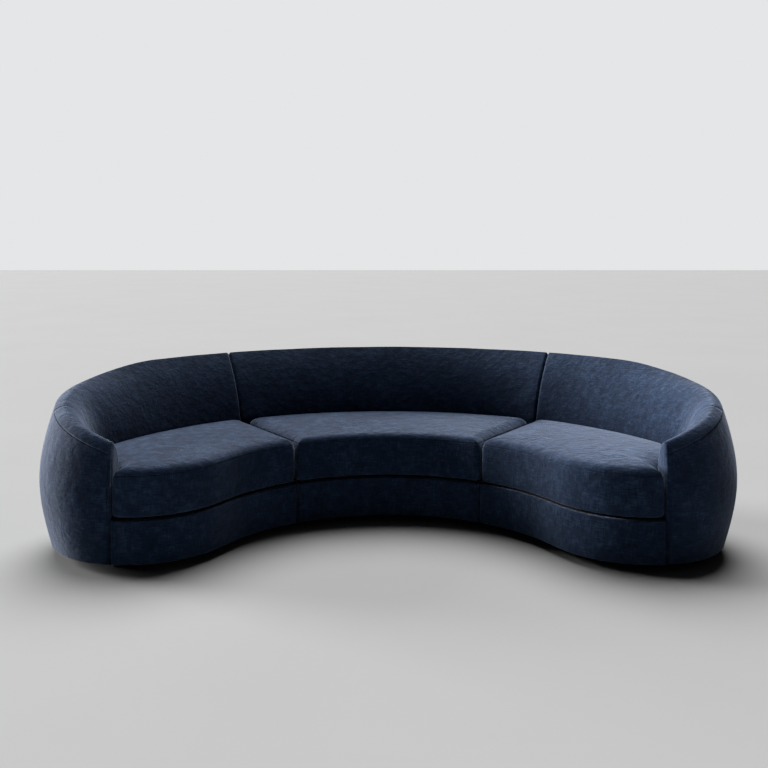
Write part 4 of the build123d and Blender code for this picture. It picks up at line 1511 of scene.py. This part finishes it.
        for angle, inset in lobe_turns + tip[::-1]:
            path.append((PLAN.lobe_centre + along(angle) * lobe, along(angle), inset))
        return path

    def build_base(self) -> None:
        """Makes the padded band below the cushion."""
        low, high = COVER_LOW, COVER_HIGH
        back = -self.cover
        lower = turned_arc(np.array([-self.hem, low + self.hem]), self.hem, -90.0, 0.0, 6)
        levels = np.linspace(low + self.hem, high - self.cover_round, 12)[1:-1]
        belly = np.column_stack([self.cover_belly * np.sin(np.linspace(0, math.pi, 12)[1:-1]), levels])
        upper_at = np.array([-self.cover_round, high - self.cover_round])
        upper = turned_arc(upper_at, self.cover_round, 0.0, 90.0, 8)
        hidden = np.array([[back, high], [back, (low + high) / 2], [back, low]])
        profile = np.concatenate([lower, belly, upper, hidden])[::-1]
        shown = np.ones(len(profile))
        rings = []
        for place, outward, inset in self.front_path():
            section = drawn_in(profile, shown, inset)
            section[:, 0] = np.maximum(section[:, 0], back)
            flat = place + np.outer(section[:, 0], outward)
            rings.append(self.side.turned(np.column_stack([flat, section[:, 1]])))
        made = lofted(self.side.node("base_band"), rings)
        soften_surface(made, self.cover_uneven, self.uneven_wave, self.cover_seed)
        made.data.set_sharp_from_angle(angle=self.crease)
        self.workshop.fit(made, self.side.section, Finish.VELVET, self.side.node("base_cover"))

    def build_deck(self) -> None:
        """Makes the thin pad that the loose cushion lies on, with its border seam."""
        edge, border = self.deck_edge, self.deck_border
        low, high = DECK_LOW + REST_GAP, DECK_HIGH - REST_GAP
        form = [
            (edge, low),
            (0.0, DECK_LOW + edge),
            (0.0, DECK_HIGH - edge),
            (edge, high),
            (border - edge, high),
            (border, DECK_HIGH - edge / 2),
            (border + edge, high),
        ]
        wall = PLAN.back_spread + PLAN.pad_lean + self.deck_room - self.deck_inset
        rings = []
        for inset, level in form:
            joint, nose = PLAN.joint_gap + inset, PLAN.end_panel + self.nose_room + inset
            flat, _ = PLAN.seat_outline(self.side, self.deck_inset + inset, wall, joint, nose)
            rings.append(self.side.turned(np.column_stack([flat, np.full(len(flat), level)])))
        made = lofted(self.side.node("deck_cover"), rings)
        made.data.set_sharp_from_angle(angle=self.deck_crease)
        self.workshop.fit(made, self.side.section, Finish.DECK, self.side.node("deck_pad"))

    def build_dust_cloth(self) -> None:
        """Makes the thin cloth that closes the underside."""
        rings = []
        for inset, sag in self.dust_form:
            flat = PLAN.floor_outline(self.side, inset)
            level = np.full(len(flat), PLAN.floor_gap - sag)
            rings.append(self.side.turned(np.column_stack([flat, level])))
        made = lofted(self.side.node("dust_cloth"), rings)
        made.data.set_sharp_from_angle(angle=self.dust_crease)
        node = self.side.node("dust_cover")
        edge = rings[0][:, :2]
        after = np.roll(edge, -1, axis=0)
        area = abs(float((edge[:, 0] * after[:, 1] - edge[:, 1] * after[:, 0]).sum())) / 2
        self.workshop.fit(made, self.side.section, Finish.DUST, node)
        self.side.node("base_panel")

    def dress_frame(self) -> None:
        """Finishes the nodes of the frame that stay as they are."""
        timber = ["base_panel", "front_rail", "cross_rails", "seat_frame", "ribs", "top_rail"]
        ends = ["joint_rails", "joint_linings", "connector_sockets"]
        if self.side is not Side.CENTRE:
            ends = ["joint_rail", "joint_lining", "connector_tongues"]
        finishes = {piece: Finish.PLYWOOD for piece in [*timber, ends[0]]}
        finishes[ends[1]] = Finish.LINING
        finishes[ends[2]] = Finish.STEEL
        finishes["screws"] = Finish.STEEL
        finishes["webbing"] = Finish.WEBBING
        finishes["feet"] = Finish.PLASTIC
        for piece, finish in finishes.items():
            self.workshop.dress_node(self.side.node(piece), finish)

    def build(self) -> None:
        """Makes the whole section."""
        self.build_wall()
        if self.side is not Side.CENTRE:
            self.build_arm_end()
        self.build_base()
        self.build_deck()
        self.build_dust_cloth()
        self.dress_frame()


# Studio


@dataclass(frozen=True)
class SoftLight:
    """A wide soft lamp, so far away that it lights the whole floor evenly."""

    name: str
    away: tuple[float, float, float]
    strength: float
    spread: float

    def build(self) -> None:
        """Hangs the lamp in the direction that it is away."""
        lamp = bpy.data.lights.new(self.name, "SUN")
        lamp.energy = self.strength
        lamp.angle = math.radians(self.spread)
        hung = bpy.data.objects.new(self.name, lamp)
        hung.rotation_euler = (-Vector(self.away)).to_track_quat("-Z", "Y").to_euler()
        bpy.context.scene.collection.objects.link(hung)


@dataclass(frozen=True)
class Studio:
    """Floor, lamps and camera.

    The camera stands level and its shift frames the sofa. The image's width, the focal length and
    the places of the horizon and of the middle are in pixels.
    """

    image: float = 768.0
    focal: float = 972.73
    horizon: float = 230.35
    middle: float = 388.3
    camera_height: float = 1.4232
    camera_distance: float = 3.9499
    sensor: float = 36.0
    floor_size: float = 60.0
    backdrop: Colour = (0.78, 0.79, 0.80)
    ambient: float = 0.02
    lamps: tuple[SoftLight, ...] = (
        SoftLight("high_light", (-0.05, 0.62, 1.0), 5.8, 50.0),
        SoftLight("side_light", (-11.35, 5.05, 2.8), 6.3, 22.0),
    )

    def build(self) -> None:
        """Sets the studio up."""
        half = self.floor_size / 2
        corners = np.array([[-half, -half, 0], [half, -half, 0], [half, half, 0], [-half, half, 0]])
        floor = mesh_object("studio_floor", corners, [(0, 1, 2, 3)])
        floor.data.materials.append(StudioFloor().material())
        for lamp in self.lamps:
            lamp.build()
        self.build_world()
        self.build_camera()

    def build_world(self) -> None:
        """Pale surroundings that give only a little light of their own."""
        world = bpy.data.worlds.new("studio")
        graph = Graph(world)
        seen = graph.node("ShaderNodeLightPath").outputs["Is Camera Ray"]
        light, backdrop = (
            graph.node("ShaderNodeBackground", Color=self.backdrop, Strength=strength).outputs[0]
            for strength in (self.ambient, 1.0)
        )
        choice = graph.node("ShaderNodeMixShader", _0=seen, _1=light, _2=backdrop)
        graph.node("ShaderNodeOutputWorld", Surface=choice.outputs[0])
        bpy.context.scene.world = world

    def build_camera(self) -> None:
        """Puts the camera where the photograph's was."""
        lens = bpy.data.cameras.new("camera")
        lens.sensor_width = self.sensor
        lens.lens = self.sensor * self.focal / self.image
        lens.shift_x = (self.image / 2 - self.middle) / self.image
        lens.shift_y = (self.horizon - self.image / 2) / self.image
        camera = bpy.data.objects.new("camera", lens)
        camera.location = (0.0, PLAN.arc_centre[1] - self.camera_distance, self.camera_height)
        camera.rotation_euler = (math.radians(90), 0.0, 0.0)
        bpy.context.scene.collection.objects.link(camera)
        bpy.context.scene.camera = camera
        bpy.context.scene.view_settings.view_transform = "Standard"


def write_sizes() -> None:
    """Updates the view layer."""
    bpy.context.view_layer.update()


def main() -> None:
    """Builds the sofa and its studio."""
    logging.basicConfig(level=logging.INFO, format="%(name)s: %(message)s")
    workshop = Workshop()
    for side in Side:
        Section(workshop, side).build()
        SeatCushion(workshop, side).build()
    Studio().build()
    write_sizes()


if __name__ == "__main__":
    main()
